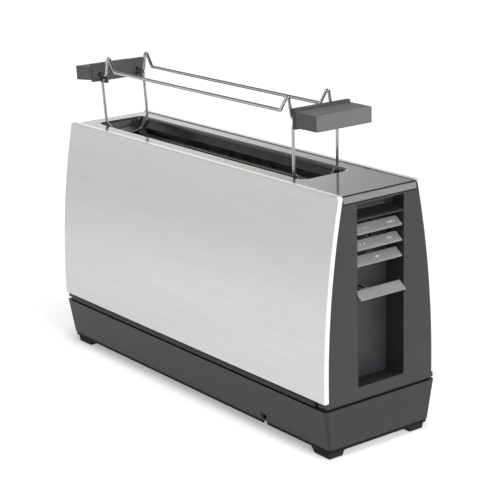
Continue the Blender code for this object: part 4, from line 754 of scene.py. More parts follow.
def arc(
    x: float, y: float, radius: float, start: float, end: float, steps: int
) -> list[Flat]:
    """Points on a part of a circle.

    Args:
        x: The circle's middle, its first coordinate.
        y: The circle's middle, its second coordinate.
        radius: The circle's radius.
        start: Where the part starts, in degrees.
        end: Where it ends, in degrees.
        steps: Steps between the two.

    Returns:
        The points.
    """
    turns = steps_between(math.radians(start), math.radians(end), steps)
    return [(x + radius * math.cos(turn), y + radius * math.sin(turn)) for turn in turns]


def soft_rect(
    rect: Sequence[float], corner: float, steps: int, z: float
) -> list[Vector]:
    """A rectangle with rounded corners, lying level.

    Args:
        rect: Its low x, low y, high x and high y.
        corner: The corners' radius.
        steps: Steps in a corner.
        z: Its height.

    Returns:
        The points, anticlockwise from above.
    """
    middles = (
        (rect[2] - corner, rect[3] - corner),
        (rect[0] + corner, rect[3] - corner),
        (rect[0] + corner, rect[1] + corner),
        (rect[2] - corner, rect[1] + corner),
    )
    points = []
    for index, (x, y) in enumerate(middles):
        start = 90.0 * index
        corner_points = arc(x, y, corner, start, start + 90.0, steps)
        points += [Vector((*point, z)) for point in corner_points]
    return points


def bent_path(corners: Iterable[Point], radius: float, steps: int = 8) -> list[Vector]:
    """Straight runs between corners, each inner corner bent to a radius.

    Args:
        corners: The path's corners.
        radius: The bend's radius.
        steps: Steps in a bend.

    Returns:
        The path's points.
    """
    places = [Vector(corner) for corner in corners]
    path = [places[0]]
    for before, corner, after in zip(places, places[1:], places[2:]):
        back = (before - corner).normalized()
        ahead = (after - corner).normalized()
        half = back.angle(ahead) / 2
        reach = min(
            radius / math.tan(half),
            (before - corner).length / 2,
            (after - corner).length / 2,
        )
        bend = reach * math.tan(half)
        centre = corner + (back + ahead).normalized() * (bend / math.sin(half))
        first = corner + back * reach - centre
        last = corner + ahead * reach - centre
        for step in range(steps + 1):
            path.append(centre + bend * first.slerp(last, step / steps))
    path.append(places[-1])
    return path


class Solid:
    """A closed mesh that is shaped step by step."""

    SHARP_TURN = 28.0
    WIRE_END_SHARE = 0.3

    def __init__(self, bm: bmesh.types.BMesh) -> None:
        """Take over a bmesh.

        Args:
            bm: The faces, which this frees.
        """
        bmesh.ops.recalc_face_normals(bm, faces=bm.faces)
        mesh = bpy.data.meshes.new("solid")
        bm.to_mesh(mesh)
        bm.free()
        self.thing = bpy.data.objects.new("solid", mesh)
        bpy.context.scene.collection.objects.link(self.thing)

    @classmethod
    def box(cls, xs: Sequence[float], ys: Sequence[float], zs: Sequence[float]) -> "Solid":
        """A box.

        Args:
            xs: Its lowest and highest x.
            ys: Its lowest and highest y.
            zs: Its lowest and highest z.

        Returns:
            The solid.
        """
        rect = (xs[0], ys[0], xs[1], ys[1])
        return cls.tapered(rect, rect, zs[0], zs[1])

    @classmethod
    def tapered(
        cls,
        low_rect: Sequence[float],
        high_rect: Sequence[float],
        low_z: float,
        high_z: float,
        corner: float = 0.0,
        steps: int = 1,
    ) -> "Solid":
        """A box whose lower and upper rectangles differ.

        Args:
            low_rect: The lower rectangle, as low x, low y, high x, high y.
            high_rect: The upper rectangle.
            low_z: The lower height.
            high_z: The upper height.
            corner: The radius of the upright edges.
            steps: Steps in a rounded edge.

        Returns:
            The solid.
        """
        bm = bmesh.new()
        bmesh.ops.create_cube(bm, size=1.0)
        for vert in bm.verts:
            rect = high_rect if vert.co.z > 0 else low_rect
            x = rect[2] if vert.co.x > 0 else rect[0]
            y = rect[3] if vert.co.y > 0 else rect[1]
            vert.co = (x, y, high_z if vert.co.z > 0 else low_z)
        if corner > 0:
            upright = [
                edge
                for edge in bm.edges
                if abs(edge.verts[0].co.z - edge.verts[1].co.z) > (high_z - low_z) / 2
            ]
            bmesh.ops.bevel(
                bm,
                geom=upright,
                offset=corner,
                segments=steps,
                profile=0.5,
                affect="EDGES",
            )
        return cls(bm)

    @classmethod
    def prism(
        cls, outline: Sequence[Flat], axis: Axis, low: float, high: float
    ) -> "Solid":
        """An outline drawn out along an axis.

        Args:
            outline: Points as (y, z) along X, (x, z) along Y, (x, y) along Z.
            axis: The axis.
            low: The first station.
            high: The second station.

        Returns:
            The solid.
        """
        bm = bmesh.new()
        loops: list[list[bmesh.types.BMVert]] = []
        for station in (low, high):
            ring = []
            for u, v in outline:
                place = [u, v]
                place.insert(axis.value, station)
                ring.append(bm.verts.new(place))
            loops.append(ring)
            bm.faces.new(ring)
        count = len(outline)
        for index in range(count):
            after = (index + 1) % count
            bm.faces.new(
                (loops[0][index], loops[0][after], loops[1][after], loops[1][index])
            )
        return cls(bm)

    @classmethod
    def rod(cls, radius: float, start: Point, end: Point, sides: int = 24) -> "Solid":
        """A round rod between two points.

        Args:
            radius: The rod's radius.
            start: The middle of its one end.
            end: The middle of its other end.
            sides: Sides round the rod.

        Returns:
            The solid.
        """
        first = Vector(start)
        last = Vector(end)
        bm = bmesh.new()
        bmesh.ops.create_cone(
            bm,
            cap_ends=True,
            segments=sides,
            radius1=radius,
            radius2=radius,
            depth=(last - first).length,
        )
        turn = (last - first).to_track_quat("Z", "Y").to_matrix()
        bmesh.ops.rotate(bm, matrix=turn, verts=bm.verts)
        bmesh.ops.translate(bm, vec=(first + last) / 2, verts=bm.verts)
        return cls(bm)

    @classmethod
    def tube(cls, path: Sequence[Vector], radius: float, sides: int = 16) -> "Solid":
        """A round wire along a path, its ends softly closed.

        Args:
            path: The wire's middle line.
            radius: The wire's radius.
            sides: Sides round the wire.

        Returns:
            The solid.
        """
        ease = radius * cls.WIRE_END_SHARE
        first = (path[0] - path[1]).normalized()
        last = (path[-1] - path[-2]).normalized()
        places = [path[0], path[0] - first * ease, *path[1:-1]]
        places += [path[-1] - last * ease, path[-1]]
        radii = [radius - ease] + [radius] * (len(places) - 2) + [radius - ease]
        rings = []
        normal = first.orthogonal().normalized()
        for index, place in enumerate(places):
            ahead = places[min(index + 1, len(places) - 1)] - place
            back = place - places[max(index - 1, 0)]
            along = (ahead.normalized() + back.normalized()).normalized()
            normal = (normal - along * normal.dot(along)).normalized()
            across = along.cross(normal)
            ring = []
            for side in range(sides):
                turn = 2 * math.pi * side / sides
                out = math.cos(turn) * normal + math.sin(turn) * across
                ring.append(place + out * radii[index])
            rings.append(ring)
        bm, loops = cls._skin(rings)
        bm.faces.new(loops[0])
        bm.faces.new(loops[-1])
        return cls(bm)

    @staticmethod
    def _skin(
        rings: Sequence[Sequence[Vector]],
    ) -> tuple[bmesh.types.BMesh, list[list[bmesh.types.BMVert]]]:
        """Join closed rings by the strips between them.

        Args:
            rings: The rings in order, each with the same number of points.

        Returns:
            The faces so far and the rings' corners.
        """
        bm = bmesh.new()
        loops = [[bm.verts.new(place) for place in ring] for ring in rings]
        count = len(loops[0])
        for loop, other in zip(loops, loops[1:]):
            for index in range(count):
                after = (index + 1) % count
                bm.faces.new((loop[index], loop[after], other[after], other[index]))
        return bm, loops

    @classmethod
    def ladder(cls, rings: Sequence[Sequence[Vector]]) -> "Solid":
        """A sheet whose rings run from its outer skin round its edge to its back.

        The first half of a ring is the one end going up, and the second half is
        the other end coming down, so the skins are closed by strips between them.

        Args:
            rings: The rings, each with the same even number of points.

        Returns:
            The solid.
        """
        bm, loops = cls._skin(rings)
        count = len(loops[0])
        for loop in (loops[0], loops[-1]):
            for index in range(count // 2 - 1):
                left = count - 1 - index
                bm.faces.new(
                    (loop[index], loop[index + 1], loop[left - 1], loop[left])
                )
        return cls(bm)

    @classmethod
    def stack(cls, rings: Sequence[Sequence[Vector]]) -> "Solid":
        """A solid whose closed rings lie above each other.

        Args:
            rings: The rings from the lowest, each with the same number of points.

        Returns:
            The solid.
        """
        bm, loops = cls._skin(rings)
        bm.faces.new(list(reversed(loops[0])))
        bm.faces.new(loops[-1])
        return cls(bm)

    def _combine(self, others: Iterable["Solid"], operation: str) -> "Solid":
        """Join or cut with other solids, which this uses up.

        Args:
            others: The other solids.
            operation: Whether they are joined on or cut away.

        Returns:
            This solid.
        """
        used = list(others)
        for other in used:
            modifier = self.thing.modifiers.new("combine", "BOOLEAN")
            modifier.operation = operation
            modifier.solver = "EXACT"
            modifier.object = other.thing
        self._apply()
        for other in used:
            bpy.data.objects.remove(other.thing, do_unlink=True)
        return self

    def _apply(self) -> None:
        """Make what the modifiers give the solid's own mesh."""
        bpy.context.view_layer.update()
        graph = bpy.context.evaluated_depsgraph_get()
        mesh = bpy.data.meshes.new_from_object(self.thing.evaluated_get(graph))
        self.thing.modifiers.clear()
        before = self.thing.data
        self.thing.data = mesh
        bpy.data.meshes.remove(before)

    def join(self, *others: "Solid") -> "Solid":
        """Join other solids on."""
        return self._combine(others, "UNION")

    def cut(self, *others: "Solid") -> "Solid":
        """Cut other solids away."""
        return self._combine(others, "DIFFERENCE")

    def add(self, *others: "Solid") -> "Solid":
        """Take in other solids as loose shells of the same mesh.

        Args:
            others: The other solids, which this uses up.

        Returns:
            This solid.
        """
        bm = bmesh.new()
        bm.from_mesh(self.thing.data)
        for other in others:
            bm.from_mesh(other.thing.data)
            bpy.data.objects.remove(other.thing, do_unlink=True)
        bm.to_mesh(self.thing.data)
        bm.free()
        return self

    def round_edges(self, width: float, segments: int = 3) -> "Solid":
        """Round every edge that turns sharply.

        Args:
            width: The rounding's width.
            segments: Steps in the rounding.

        Returns:
            This solid.
        """
        modifier = self.thing.modifiers.new("round", "BEVEL")
        modifier.width = width
        modifier.segments = segments
        modifier.limit_method = "ANGLE"
        modifier.angle_limit = math.radians(self.SHARP_TURN)
        modifier.offset_type = "OFFSET"
        modifier.miter_outer = "MITER_ARC"
        modifier.use_clamp_overlap = True
        self._apply()
        return self

    def map_sides(self) -> "Solid":
        """Give the mesh flat coordinates with the first one running along X.

        Returns:
            This solid.
        """
        mesh = self.thing.data
        layer = mesh.uv_layers.new(name="brushing")
        for loop in mesh.loops:
            place = mesh.vertices[loop.vertex_index].co
            layer.data[loop.index].uv = (place.x, place.z + place.y)
        return self

    def shade(self, angle: float = 42.0) -> "Solid":
        """Shade smoothly, keeping edges that turn sharply.

        Args:
            angle: The turn in degrees from which an edge stays sharp.

        Returns:
            This solid.
        """
        self.thing.data.shade_smooth()
        self.thing.data.set_sharp_from_angle(angle=math.radians(angle))
        weighting = self.thing.modifiers.new("flat_faces_lead", "WEIGHTED_NORMAL")
        weighting.keep_sharp = True
        return self


class Workshop:
    """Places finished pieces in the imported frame."""

    def __init__(self, frame: dict) -> None:
        """Take the frame.
        """
        low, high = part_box("panel_front")
        self.frame = frame
        self.middle = Matrix.Translation(((low[0] + high[0]) / 2, 0.0, 0.0))
        self.made: dict[str, bpy.types.Material] = {}

    def material(self, finish: Finish) -> bpy.types.Material:
        """The finish's material, built once.

        Args:
            finish: The finish.

        Returns:
            Its material.
        """
        if finish.name not in self.made:
            self.made[finish.name] = finish.make()
        return self.made[finish.name]

    def place(
        self,
        solid: Solid,
        name: str,
        finish: Finish,
        slot: Slot,
        replaces: Sequence[str] = (),
        body: Body = Body.HOUSING,
    ) -> None:
        """Turn a solid into a piece of the model.

        Args:
            solid: The shape.
            name: The piece's name.
            finish: Its finish.
            slot: The record's slot that it belongs to; not used.
            replaces: The CAD nodes that it stands for.
            body: The body that it rides on.
        """
        piece = solid.thing
        piece.name = name
        piece.data.name = name
        piece.data.transform(self.middle)
        if not piece.data.materials:
            piece.data.materials.append(self.material(finish))
        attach(piece, body.value)
        if replaces:
            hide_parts(*replaces)
        LOG.info("%s on %s: %d faces", name, body.value, len(piece.data.polygons))

    def dress(self, nodes: Iterable[str], finish: Finish) -> None:
        """Give CAD nodes that stay a finish.

        Args:
            nodes: The nodes' names.
            finish: Their finish.
        """
        for name in nodes:
            node = self.frame["nodes"][name]
            node.data.materials.clear()
            node.data.materials.append(self.material(finish))
            LOG.info("%s dressed as %s", name, finish.name)


# The housing


@dataclass
class SteelSides:
    """The two bowed steel sides, folded inwards all round, and their strips."""

    shop: Workshop
    sheet: float = 0.0009
    hem: float = 0.0014
    edge: float = 0.0009
    top_corner: float = 0.0030
    bottom_corner: float = 0.0012
    strip_edge: float = 0.0004
    levels: int = 44
    edge_steps: int = 5
    corner_steps: int = 8
    flat_turn: float = 0.85
    sharp_turn: float = 60.0

    def outline(self, inset: float, depth: float, flank: Flank) -> list[Vector]:
        """The sheet's outline, seen from the side.

        Args:
            inset: How far inside the outermost outline.
            depth: How far behind the skin.
            flank: The side of the toaster.

        Returns:
            The points, up the one end and down the other.
        """
        reach = FRAME.half_length - inset
        low = FRAME.panel_bottom_z + inset
        high = FRAME.belly.top_z - inset
        small = max(self.bottom_corner - inset, self.edge / 3)
        large = max(self.top_corner - inset, self.edge / 3)
        up = arc(reach - small, low + small, small, -90.0, 0.0, self.corner_steps // 2)
        for z in steps_between(low + small, high - large, self.levels)[1:-1]:
            up.append((reach, z))
        up += arc(reach - large, high - large, large, 0.0, 90.0, self.corner_steps)
        points = up + [(-x, z) for x, z in reversed(up)]
        sign = flank.value
        return [Vector((x, sign * FRAME.belly.y(z, depth), z)) for x, z in points]

    def profile(self) -> list[Flat]:
        """The fold's section, from the skin to the back.

        Returns:
            The section as inset and depth.
        """
        edge = self.edge
        section = arc(edge, edge, edge, 270.0, 180.0, self.edge_steps)
        lip = self.sheet / 4
        deep = FRAME.panel_return
        section += [(0.0, deep - lip), (lip, deep), (self.hem - lip, deep)]
        section += [(self.hem, deep - lip), (self.hem, deep - self.hem)]
        section += [(self.sheet, deep - self.hem - lip), (self.sheet, self.sheet)]
        return section

    def build_side(self, flank: Flank) -> None:
        """Make one steel side.

        Args:
            flank: The side of the toaster.
        """
        rings = [self.outline(inset, depth, flank) for inset, depth in self.profile()]
        solid = Solid.ladder(rings).map_sides().shade(self.sharp_turn)
        name = flank.name.lower()
        mesh = solid.thing.data
        mesh.materials.append(self.shop.material(STEEL))
        mesh.materials.append(self.shop.material(STEEL_EDGE_HIGHLIGHT))
        # Faces that don't face straight out, the folds above all, take the lighter copy of
        # the steel as a painted highlight.
        for face in mesh.polygons:
            if flank.value * face.normal.y < self.flat_turn:
                face.material_index = 1
        self.shop.place(
            solid, f"{name}_steel_side", STEEL, Slot.STEEL, [f"panel_{name}"]
        )

    def build_strip(self, flank: Flank) -> None:
        """Make the strip under one steel side, dark partly from its own plastic and partly
        from painted shade.

        Args:
            flank: The side of the toaster.
        """
        ys = sorted((flank.value * FRAME.rail_inner_y, flank.value * FRAME.rail_outer_y))
        reach = FRAME.cap_back_x - FRAME.gap
        heights = (FRAME.rail_bottom_z, FRAME.rail_top_z)
        solid = Solid.box(around(0.0, reach), ys, heights)
        name = flank.name.lower()
        self.shop.place(
            solid.round_edges(self.strip_edge).shade(),
            f"{name}_lower_strip",
            STRIP_PLASTIC_AND_SHADE,
            Slot.DARK,
            [f"lower_rail_{name}"],
        )

    def build(self) -> None:
        """Make both sides and both strips."""
        for flank in Flank:
            self.build_side(flank)
            self.build_strip(flank)


@dataclass
class EndCaps:
    """The caps of both ends, the recess of the control end, and the upright lips."""

    shop: Workshop
    wall: float = 0.0020
    face_wall: float = 0.0024
    recess_wall: float = 0.0019
    floor_drop: float = 0.0026
    roof_drop: float = 0.0002
    skirt_inset: float = 0.0025
    shelf_setback: float = 0.0006
    lintel_x: float = 0.1880
    lintel_bottom_z: float = 0.2070
    lip_bottom_z: float = 0.2148
    lip_top_z: float = 0.2202
    lip_thickness: float = 0.0016
    lip_foot_depth: float = 0.0080
    lip_foot_height: float = 0.0014
    lip_side_clearance: float = 0.0005
    stem_clearance: float = 0.0013
    stem_rise: float = 0.0040
    slit_half_width: float = 0.0023
    slit_low_z: float = 0.0627
    slit_high_z: float = 0.1403
    pin_seat_half_width: float = 0.0028
    pin_seat_low_z: float = 0.1690
    pin_seat_height: float = 0.0020
    edge: float = 0.0004
    lip_edge: float = 0.00025
    lip_edge_steps: int = 2
    lip_steps: int = 12
    levels: int = 40

    def outline(self, inset: float, bottom: float, top: float, skirt: float) -> list[Flat]:
        """A cap's outline seen from its end.

        Args:
            inset: How far inside the skin of the steel.
            bottom: The lowest height.
            top: The highest height.
            skirt: Half the skirt's width under the steel, or 0 for none.

        Returns:
            The closed outline as (y, z).
        """
        half: list[Flat] = []
        low = bottom
        if skirt:
            half = [(skirt, bottom), (skirt, FRAME.rail_top_z)]
            low = FRAME.rail_top_z
        for z in steps_between(low, top, self.levels):
            half.append((FRAME.belly.y(z, inset), z))
        return half + [(-y, z) for y, z in reversed(half)]

    def shell(self, end: End) -> Solid:
        """A cap's hollow shell, open towards the inside.

        Args:
            end: The end of the toaster.

        Returns:
            The shell.
        """
        sign = end.value
        inset = FRAME.panel_return + FRAME.gap
        faces = sorted((sign * FRAME.cap_back_x, sign * FRAME.cap_face_x))
        outer = self.outline(
            inset,
            FRAME.rail_bottom_z,
            FRAME.cap_top_z,
            FRAME.rail_outer_y - self.skirt_inset,
        )
        inner = self.outline(
            inset + self.wall,
            FRAME.rail_top_z + self.wall,
            FRAME.cap_top_z - self.wall,
            0.0,
        )
        ends = sorted(
            (
                sign * (FRAME.cap_back_x - FRAME.over),
                sign * (FRAME.cap_face_x - self.face_wall),
            )
        )
        shell = Solid.prism(outer, Axis.X, *faces)
        return shell.cut(Solid.prism(inner, Axis.X, *ends))

    def recess(self) -> Solid:
        """The space of the recess, its floor falling towards the back.

        Returns:
            The space.
        """
        front = FRAME.cap_face_x + FRAME.over
        back = FRAME.recess_back_x
        low = FRAME.recess_bottom_z
        high = FRAME.recess_top_z
        profile = [(front, low), (front, high), (back, high)]
        profile += [(back, low - self.floor_drop), (FRAME.cap_face_x, low)]
        half = FRAME.recess_half_width
        return Solid.prism(profile, Axis.Y, -half, half)

    def openings(self) -> list[Solid]:
        """The ways for the key stems, the lever's arm and the key pin.

        Returns:
            What is cut away.
        """
        back = FRAME.recess_back_x
        xs = (back - self.recess_wall - FRAME.over, back + FRAME.over)
        ys = around(0.0, FRAME.stem_half_width + self.stem_clearance)
        made = []
        for index in range(len(KEYS_UPWARDS)):
            middle = FRAME.key_lowest_z + FRAME.key_pitch * index + self.stem_rise
            zs = around(middle, FRAME.stem_height / 2 + FRAME.gap)
            made.append(Solid.box(xs, ys, zs))
        slit = around(FRAME.arm_y, self.slit_half_width)
        made.append(Solid.box(xs, slit, (self.slit_low_z, self.slit_high_z)))
        made.append(
            Solid.rod(
                FRAME.pin_radius,
                (FRAME.pin_x, 0.0, self.pin_seat_low_z + self.pin_seat_height / 3),
                (FRAME.pin_x, 0.0, FRAME.shelf_z + FRAME.shelf_thickness / 2),
            )
        )
        return made

    def build_control(self) -> None:
        """Make the control end's cap with its recess."""
        cap = self.shell(End.CONTROL)
        half = FRAME.recess_half_width
        back = FRAME.recess_back_x
        floor = FRAME.recess_bottom_z - self.floor_drop - self.recess_wall
        hull = Solid.box(
            (back - self.recess_wall, FRAME.cap_face_x - self.face_wall / 2),
            around(0.0, half + self.recess_wall),
            (floor, FRAME.cap_top_z - self.roof_drop),
        )
        cap.join(hull).cut(self.recess())
        bite = self.recess_wall / 2
        shelf = Solid.box(
            (back - bite, FRAME.cap_face_x - self.shelf_setback),
            around(0.0, half + bite),
            (FRAME.shelf_z, FRAME.shelf_z + FRAME.shelf_thickness),
        )
        seat = Solid.box(
            (back - bite, FRAME.pin_x + FRAME.pin_radius + self.pin_seat_height),
            around(0.0, self.pin_seat_half_width),
            (self.pin_seat_low_z, self.pin_seat_low_z + self.pin_seat_height),
        )
        lintel = Solid.box(
            (self.lintel_x - FRAME.shelf_thickness, self.lintel_x),
            around(0.0, half + bite),
            (self.lintel_bottom_z, (FRAME.recess_top_z + FRAME.cap_top_z) / 2),
        )
        cap.join(shelf, seat, lintel).cut(*self.openings())
        self.shop.place(
            cap.round_edges(self.edge).shade(),
            "control_cap",
            CAP_PLASTIC,
            Slot.DARK,
            ["end_cap_control"],
        )

    def build_rear(self) -> None:
        """Make the plain cap of the other end."""
        self.shop.place(
            self.shell(End.REAR).round_edges(self.edge).shade(),
            "rear_cap",
            CAP_PLASTIC,
            Slot.DARK,
            ["end_cap_rear"],
        )

    def build_lip(self, end: End) -> None:
        """Make the thin upright lip above a cap.

        Args:
            end: The end of the toaster.
        """
        sign = end.value
        outer = FRAME.cap_face_x
        inner = outer - self.lip_thickness
        back = inner - self.lip_foot_depth
        foot_top = self.lip_bottom_z + self.lip_foot_height
        rise = self.lip_top_z - self.lip_bottom_z
        outline = []
        for across, up in arc(0.0, 0.0, 1.0, 0.0, 90.0, self.lip_steps):
            x = inner + self.lip_thickness * across
            outline.append((sign * x, self.lip_bottom_z + rise * up))
        outline += [
            (sign * inner, foot_top),
            (sign * back, foot_top),
            (sign * back, FRAME.cap_top_z + FRAME.gap),
            (sign * inner, FRAME.cap_top_z + FRAME.gap),
            (sign * inner, self.lip_bottom_z),
        ]
        reach = FRAME.belly.y(FRAME.belly.top_z, FRAME.panel_return) - self.lip_side_clearance
        lip = Solid.prism(outline, Axis.Y, -reach, reach)
        name = end.name.lower()
        self.shop.place(
            lip.round_edges(self.lip_edge, self.lip_edge_steps).shade(),
            f"{name}_upright_lip",
            LIP_GLOSS,
            Slot.COVER,
            [f"end_trim_{name}"],
        )

    def build(self) -> None:
        """Make both caps and both lips."""
        self.build_control()
        self.build_rear()
        for end in End:
            self.build_lip(end)


@dataclass
class TopCover:
    """The glossy top between the steel sides, with the funnel of its slot."""

    shop: Workshop
    thickness: float = 0.0022
    end_x: float = 0.1962
    slot_low_x: float = -0.1799
    slot_high_x: float = 0.1319
    corner: float = 0.0050
    corner_steps: int = 8
    side_rounding: float = 0.0080
    end_rounding: float = 0.0028
    rounding_steps: int = 12
    depth: float = 0.0082
    end_slope: float = 12.0
    wall: float = 0.0018
    undercut: float = 0.0020
    funnel_turn: float = 0.76
    underside_turn: float = -0.2
    edge: float = 0.0003

    def funnel(self, offset: float, low_z: float, high_z: float) -> Solid:
        """A solid of the funnel's shape between two heights.

        Args:
            offset: How far outside the funnel's face.
            low_z: The lower height.
            high_z: The upper height.

        Returns:
            The solid.
        """
        spread = math.tan(math.radians(FRAME.funnel_slope))
        end_spread = math.tan(math.radians(self.end_slope))
        rects = []
        for z in (low_z, high_z):
            deep = FRAME.cover_top_z - z
            half = FRAME.slot_half_width + offset - deep * spread
            left = self.slot_low_x - offset + deep * end_spread
            right = self.slot_high_x + offset - deep * end_spread
            rects.append((left, -half, right, half))
        return Solid.tapered(
            rects[0], rects[1], low_z, high_z, self.corner + offset, self.corner_steps
        )

    def reach(self, deep: float, slope: float, radius: float) -> float:
        """How far outside the sharp rim the rounded funnel's face lies.

        Args:
            deep: The depth below the cover's top.
            slope: The face's slope from upright, in degrees.
            radius: The rounding's radius.

        Returns:
            The distance, negative where the face lies further in.
        """
        turn = math.radians(90.0 - slope)
        if deep >= radius * (1.0 - math.cos(turn)):
            return -deep * math.tan(math.radians(slope))
        turned = math.acos(1.0 - deep / radius)
        return radius * (math.tan(turn / 2) - math.sin(turned))

    def mouth(self) -> Solid:
        """The space inside the funnel, its rim widely rounded.

        Returns:
            The space.
        """
        top = FRAME.cover_top_z
        full = math.radians(90.0 - FRAME.funnel_slope)
        depths = [self.depth + FRAME.over]
        for turned in reversed(steps_between(0.0, full, self.rounding_steps)):
            depths.append(self.side_rounding * (1.0 - math.cos(turned)))
        rings = []
        for deep in depths:
            side = self.reach(deep, FRAME.funnel_slope, self.side_rounding)
            end = self.reach(deep, self.end_slope, self.end_rounding)
            half = FRAME.slot_half_width + side
            rect = (self.slot_low_x - end, -half, self.slot_high_x + end, half)
            corner = self.corner + max((side + end) / 2, 0.0)
            rings.append(soft_rect(rect, corner, self.corner_steps, top - deep))
        rings.append([Vector((p.x, p.y, top + FRAME.over)) for p in rings[-1]])
        return Solid.stack(rings)

    def build(self) -> None:
        """Make the cover, whose funnel walls take a darker, duller copy of its plastic as
        painted shade.
        """
        half = FRAME.belly.y(FRAME.belly.top_z, FRAME.panel_return) - FRAME.gap
        top = FRAME.cover_top_z
        low = top - self.depth
        cover = Solid.tapered(
            centred(self.end_x - self.undercut, half),
            centred(self.end_x, half),
            top - self.thickness,
            top,
        )
        cover.join(self.funnel(self.wall, low, top - self.thickness / 2))
        cover.cut(self.mouth()).round_edges(self.edge).shade()
        mesh = cover.thing.data
        mesh.materials.clear()
        mesh.materials.append(self.shop.material(COVER_GLOSS))
        mesh.materials.append(self.shop.material(FUNNEL_SHADED_GLOSS))
        # Faces that slope down inside the slot take the darker copy, as painted shade in the
        # funnel.
        reach = FRAME.slot_half_width + self.wall
        for face in mesh.polygons:
            x, y, _ = face.center
            inside = abs(y) < reach and self.slot_low_x < x < self.slot_high_x
            steep = self.underside_turn < face.normal.z < self.funnel_turn
            face.material_index = int(inside and steep)
        self.shop.place(cover, "glossy_top", COVER_GLOSS, Slot.COVER, ["top_cover"])


# The controls


class Sign(enum.Enum):
    """The plain signs printed on the keys."""

    LIGHTER = "lighter"
    DARKER = "darker"
    FROST = "frost"
    WARM = "warm"
    STOP = "stop"


@dataclass(frozen=True)
class Key:
    """A key, with its signs and their places across it."""

    name: str
    body: Body
    signs: tuple[tuple[Sign, float], ...]


KEYS_UPWARDS = (
    Key("key_cancel", Body.CANCEL, ((Sign.STOP, 0.0),)),
    Key("key_program", Body.PROGRAM, ((Sign.FROST, -0.0160), (Sign.WARM, 0.0130))),
    Key("key_browning", Body.BROWNING, ((Sign.LIGHTER, -0.0160), (Sign.DARKER, 0.0150))),
)


@dataclass
class SignPrinter:
    """Draws each sign as thin raised ink, flat and about its own middle.

    The middles of strokes and dots are counted in pitches. What is named a share is
    a share of the height: the lengths of strokes, and how far out a star's rays lie.
    """

    ink: float = 0.00003
    height: float = 0.0024
    stroke: float = 0.00044
    pitch: float = 0.0021
    dot_count: int = 3
    smallest_dot: float = 0.00034
    dot_growth: float = 0.00012
    dot_sides: int = 16
    minus_middle: float = -1.5
    minus_share: float = 0.8
    lighter_start: float = -0.3
    darker_start: float = -1.8
    plus_middle: float = 1.5
    plus_share: float = 0.9
    ray_count: int = 6
    ray_share: float = 0.36
    ray_middle_share: float = 0.3
    waves: int = 5
    wave_steps: int = 12
    block_share: float = 0.8
    block_bar_middle: float = 1.1

    def bar(self, u: float, v: float, length: float, turn: float = 0.0) -> Solid:
        """A straight stroke.

        Args:
            u: Its middle across the key.
            v: Its middle up the key.
            length: Its length.
            turn: Its turn in degrees.

        Returns:
            The stroke.
        """
        along = Vector((math.cos(math.radians(turn)), math.sin(math.radians(turn))))
        across = Vector((-along.y, along.x)) * self.stroke / 2
        along *= length / 2
        middle = Vector((u, v))
        corners = (-along - across, along - across, along + across, -along + across)
        outline = [tuple(middle + corner) for corner in corners]
        return Solid.prism(outline, Axis.Z, 0.0, self.ink)

    def dot(self, u: float, radius: float) -> Solid:
        """A round dot on the sign's middle line.

        Args:
            u: Its middle across the key.
            radius: Its radius.

        Returns:
            The dot.
        """
        turns = steps_between(0.0, 2 * math.pi, self.dot_sides)[:-1]
        outline = [(u + radius * math.cos(t), radius * math.sin(t)) for t in turns]
        return Solid.prism(outline, Axis.Z, 0.0, self.ink)

    def wave(self, u: float) -> Solid:
        """An upright wavy stroke.

        Args:
            u: Its middle across the key.

        Returns:
            The stroke.
        """
        half = self.height / 2
        line = []
        for v in steps_between(-half, half, self.wave_steps):
            line.append((u + self.stroke * math.sin(math.pi * v / half), v))
        left = [(x - self.stroke / 2, v) for x, v in line]
        right = [(x + self.stroke / 2, v) for x, v in reversed(line)]
        return Solid.prism(left + right, Axis.Z, 0.0, self.ink)

    def dots(self, first: float, start: float) -> list[Solid]:
        """A row of dots that grow by steps.

        Args:
            first: The first dot's radius.
            start: The first dot's place, in pitches.

        Returns:
            The dots.
        """
        made = []
        for index in range(self.dot_count):
            u = start * self.pitch + self.pitch * index
            made.append(self.dot(u, first + self.dot_growth * index))
        return made

    def plus(self) -> list[Solid]:
        """A plus, its upright in two halves that leave the level stroke free.

        Returns:
            Its strokes.
        """
        u = self.plus_middle * self.pitch
        length = self.plus_share * self.height
        middle = 0.5 * (length / 2 + self.stroke)
        half = length / 3
        return [
            self.bar(u, 0.0, length),
            self.bar(u, middle, half, 90.0),
            self.bar(u, -middle, half, 90.0),
        ]

    def star(self, u: float) -> list[Solid]:
        """A star of short rays.

        Args:
            u: Its middle across the key.

        Returns:
            The rays.
        """
        reach = self.ray_middle_share * self.height
        rays = []
        for index in range(self.ray_count):
            turn = 360.0 * index / self.ray_count
            along = reach * math.cos(math.radians(turn))
            up = reach * math.sin(math.radians(turn))
            rays.append(self.bar(u + along, up, self.ray_share * self.height, turn))
        return rays

    def block(self) -> list[Solid]:
        """A square between two level strokes.

        Returns:
            The square and the strokes.
        """
        side = self.block_share * self.height
        low_x, low_y, high_x, high_y = centred(side / 2, side / 2)
        corners = [(low_x, low_y), (high_x, low_y), (high_x, high_y), (low_x, high_y)]
        reach = self.block_bar_middle * self.pitch
        return [
            Solid.prism(corners, Axis.Z, 0.0, self.ink),
            self.bar(-reach, 0.0, side),
            self.bar(reach, 0.0, side),
        ]

    def draw(self, sign: Sign) -> Solid:
        """Draw a sign.

        Args:
            sign: Which one.

        Returns:
            Its strokes in one mesh.
        """
        if sign is Sign.LIGHTER:
            minus = self.minus_middle * self.pitch
            parts = [self.bar(minus, 0.0, self.minus_share * self.height)]
            parts += self.dots(self.smallest_dot, self.lighter_start)
        elif sign is Sign.DARKER:
            larger = self.smallest_dot + self.dot_count * self.dot_growth
            parts = self.dots(larger, self.darker_start) + self.plus()
        elif sign is Sign.FROST:
            parts = self.star(-self.pitch) + self.star(self.pitch)
        elif sign is Sign.WARM:
            places = steps_between(-self.pitch, self.pitch, self.waves - 1)
            parts = [self.wave(u) for u in places]
        else:
            parts = self.block()
        return parts[0].add(*parts[1:])


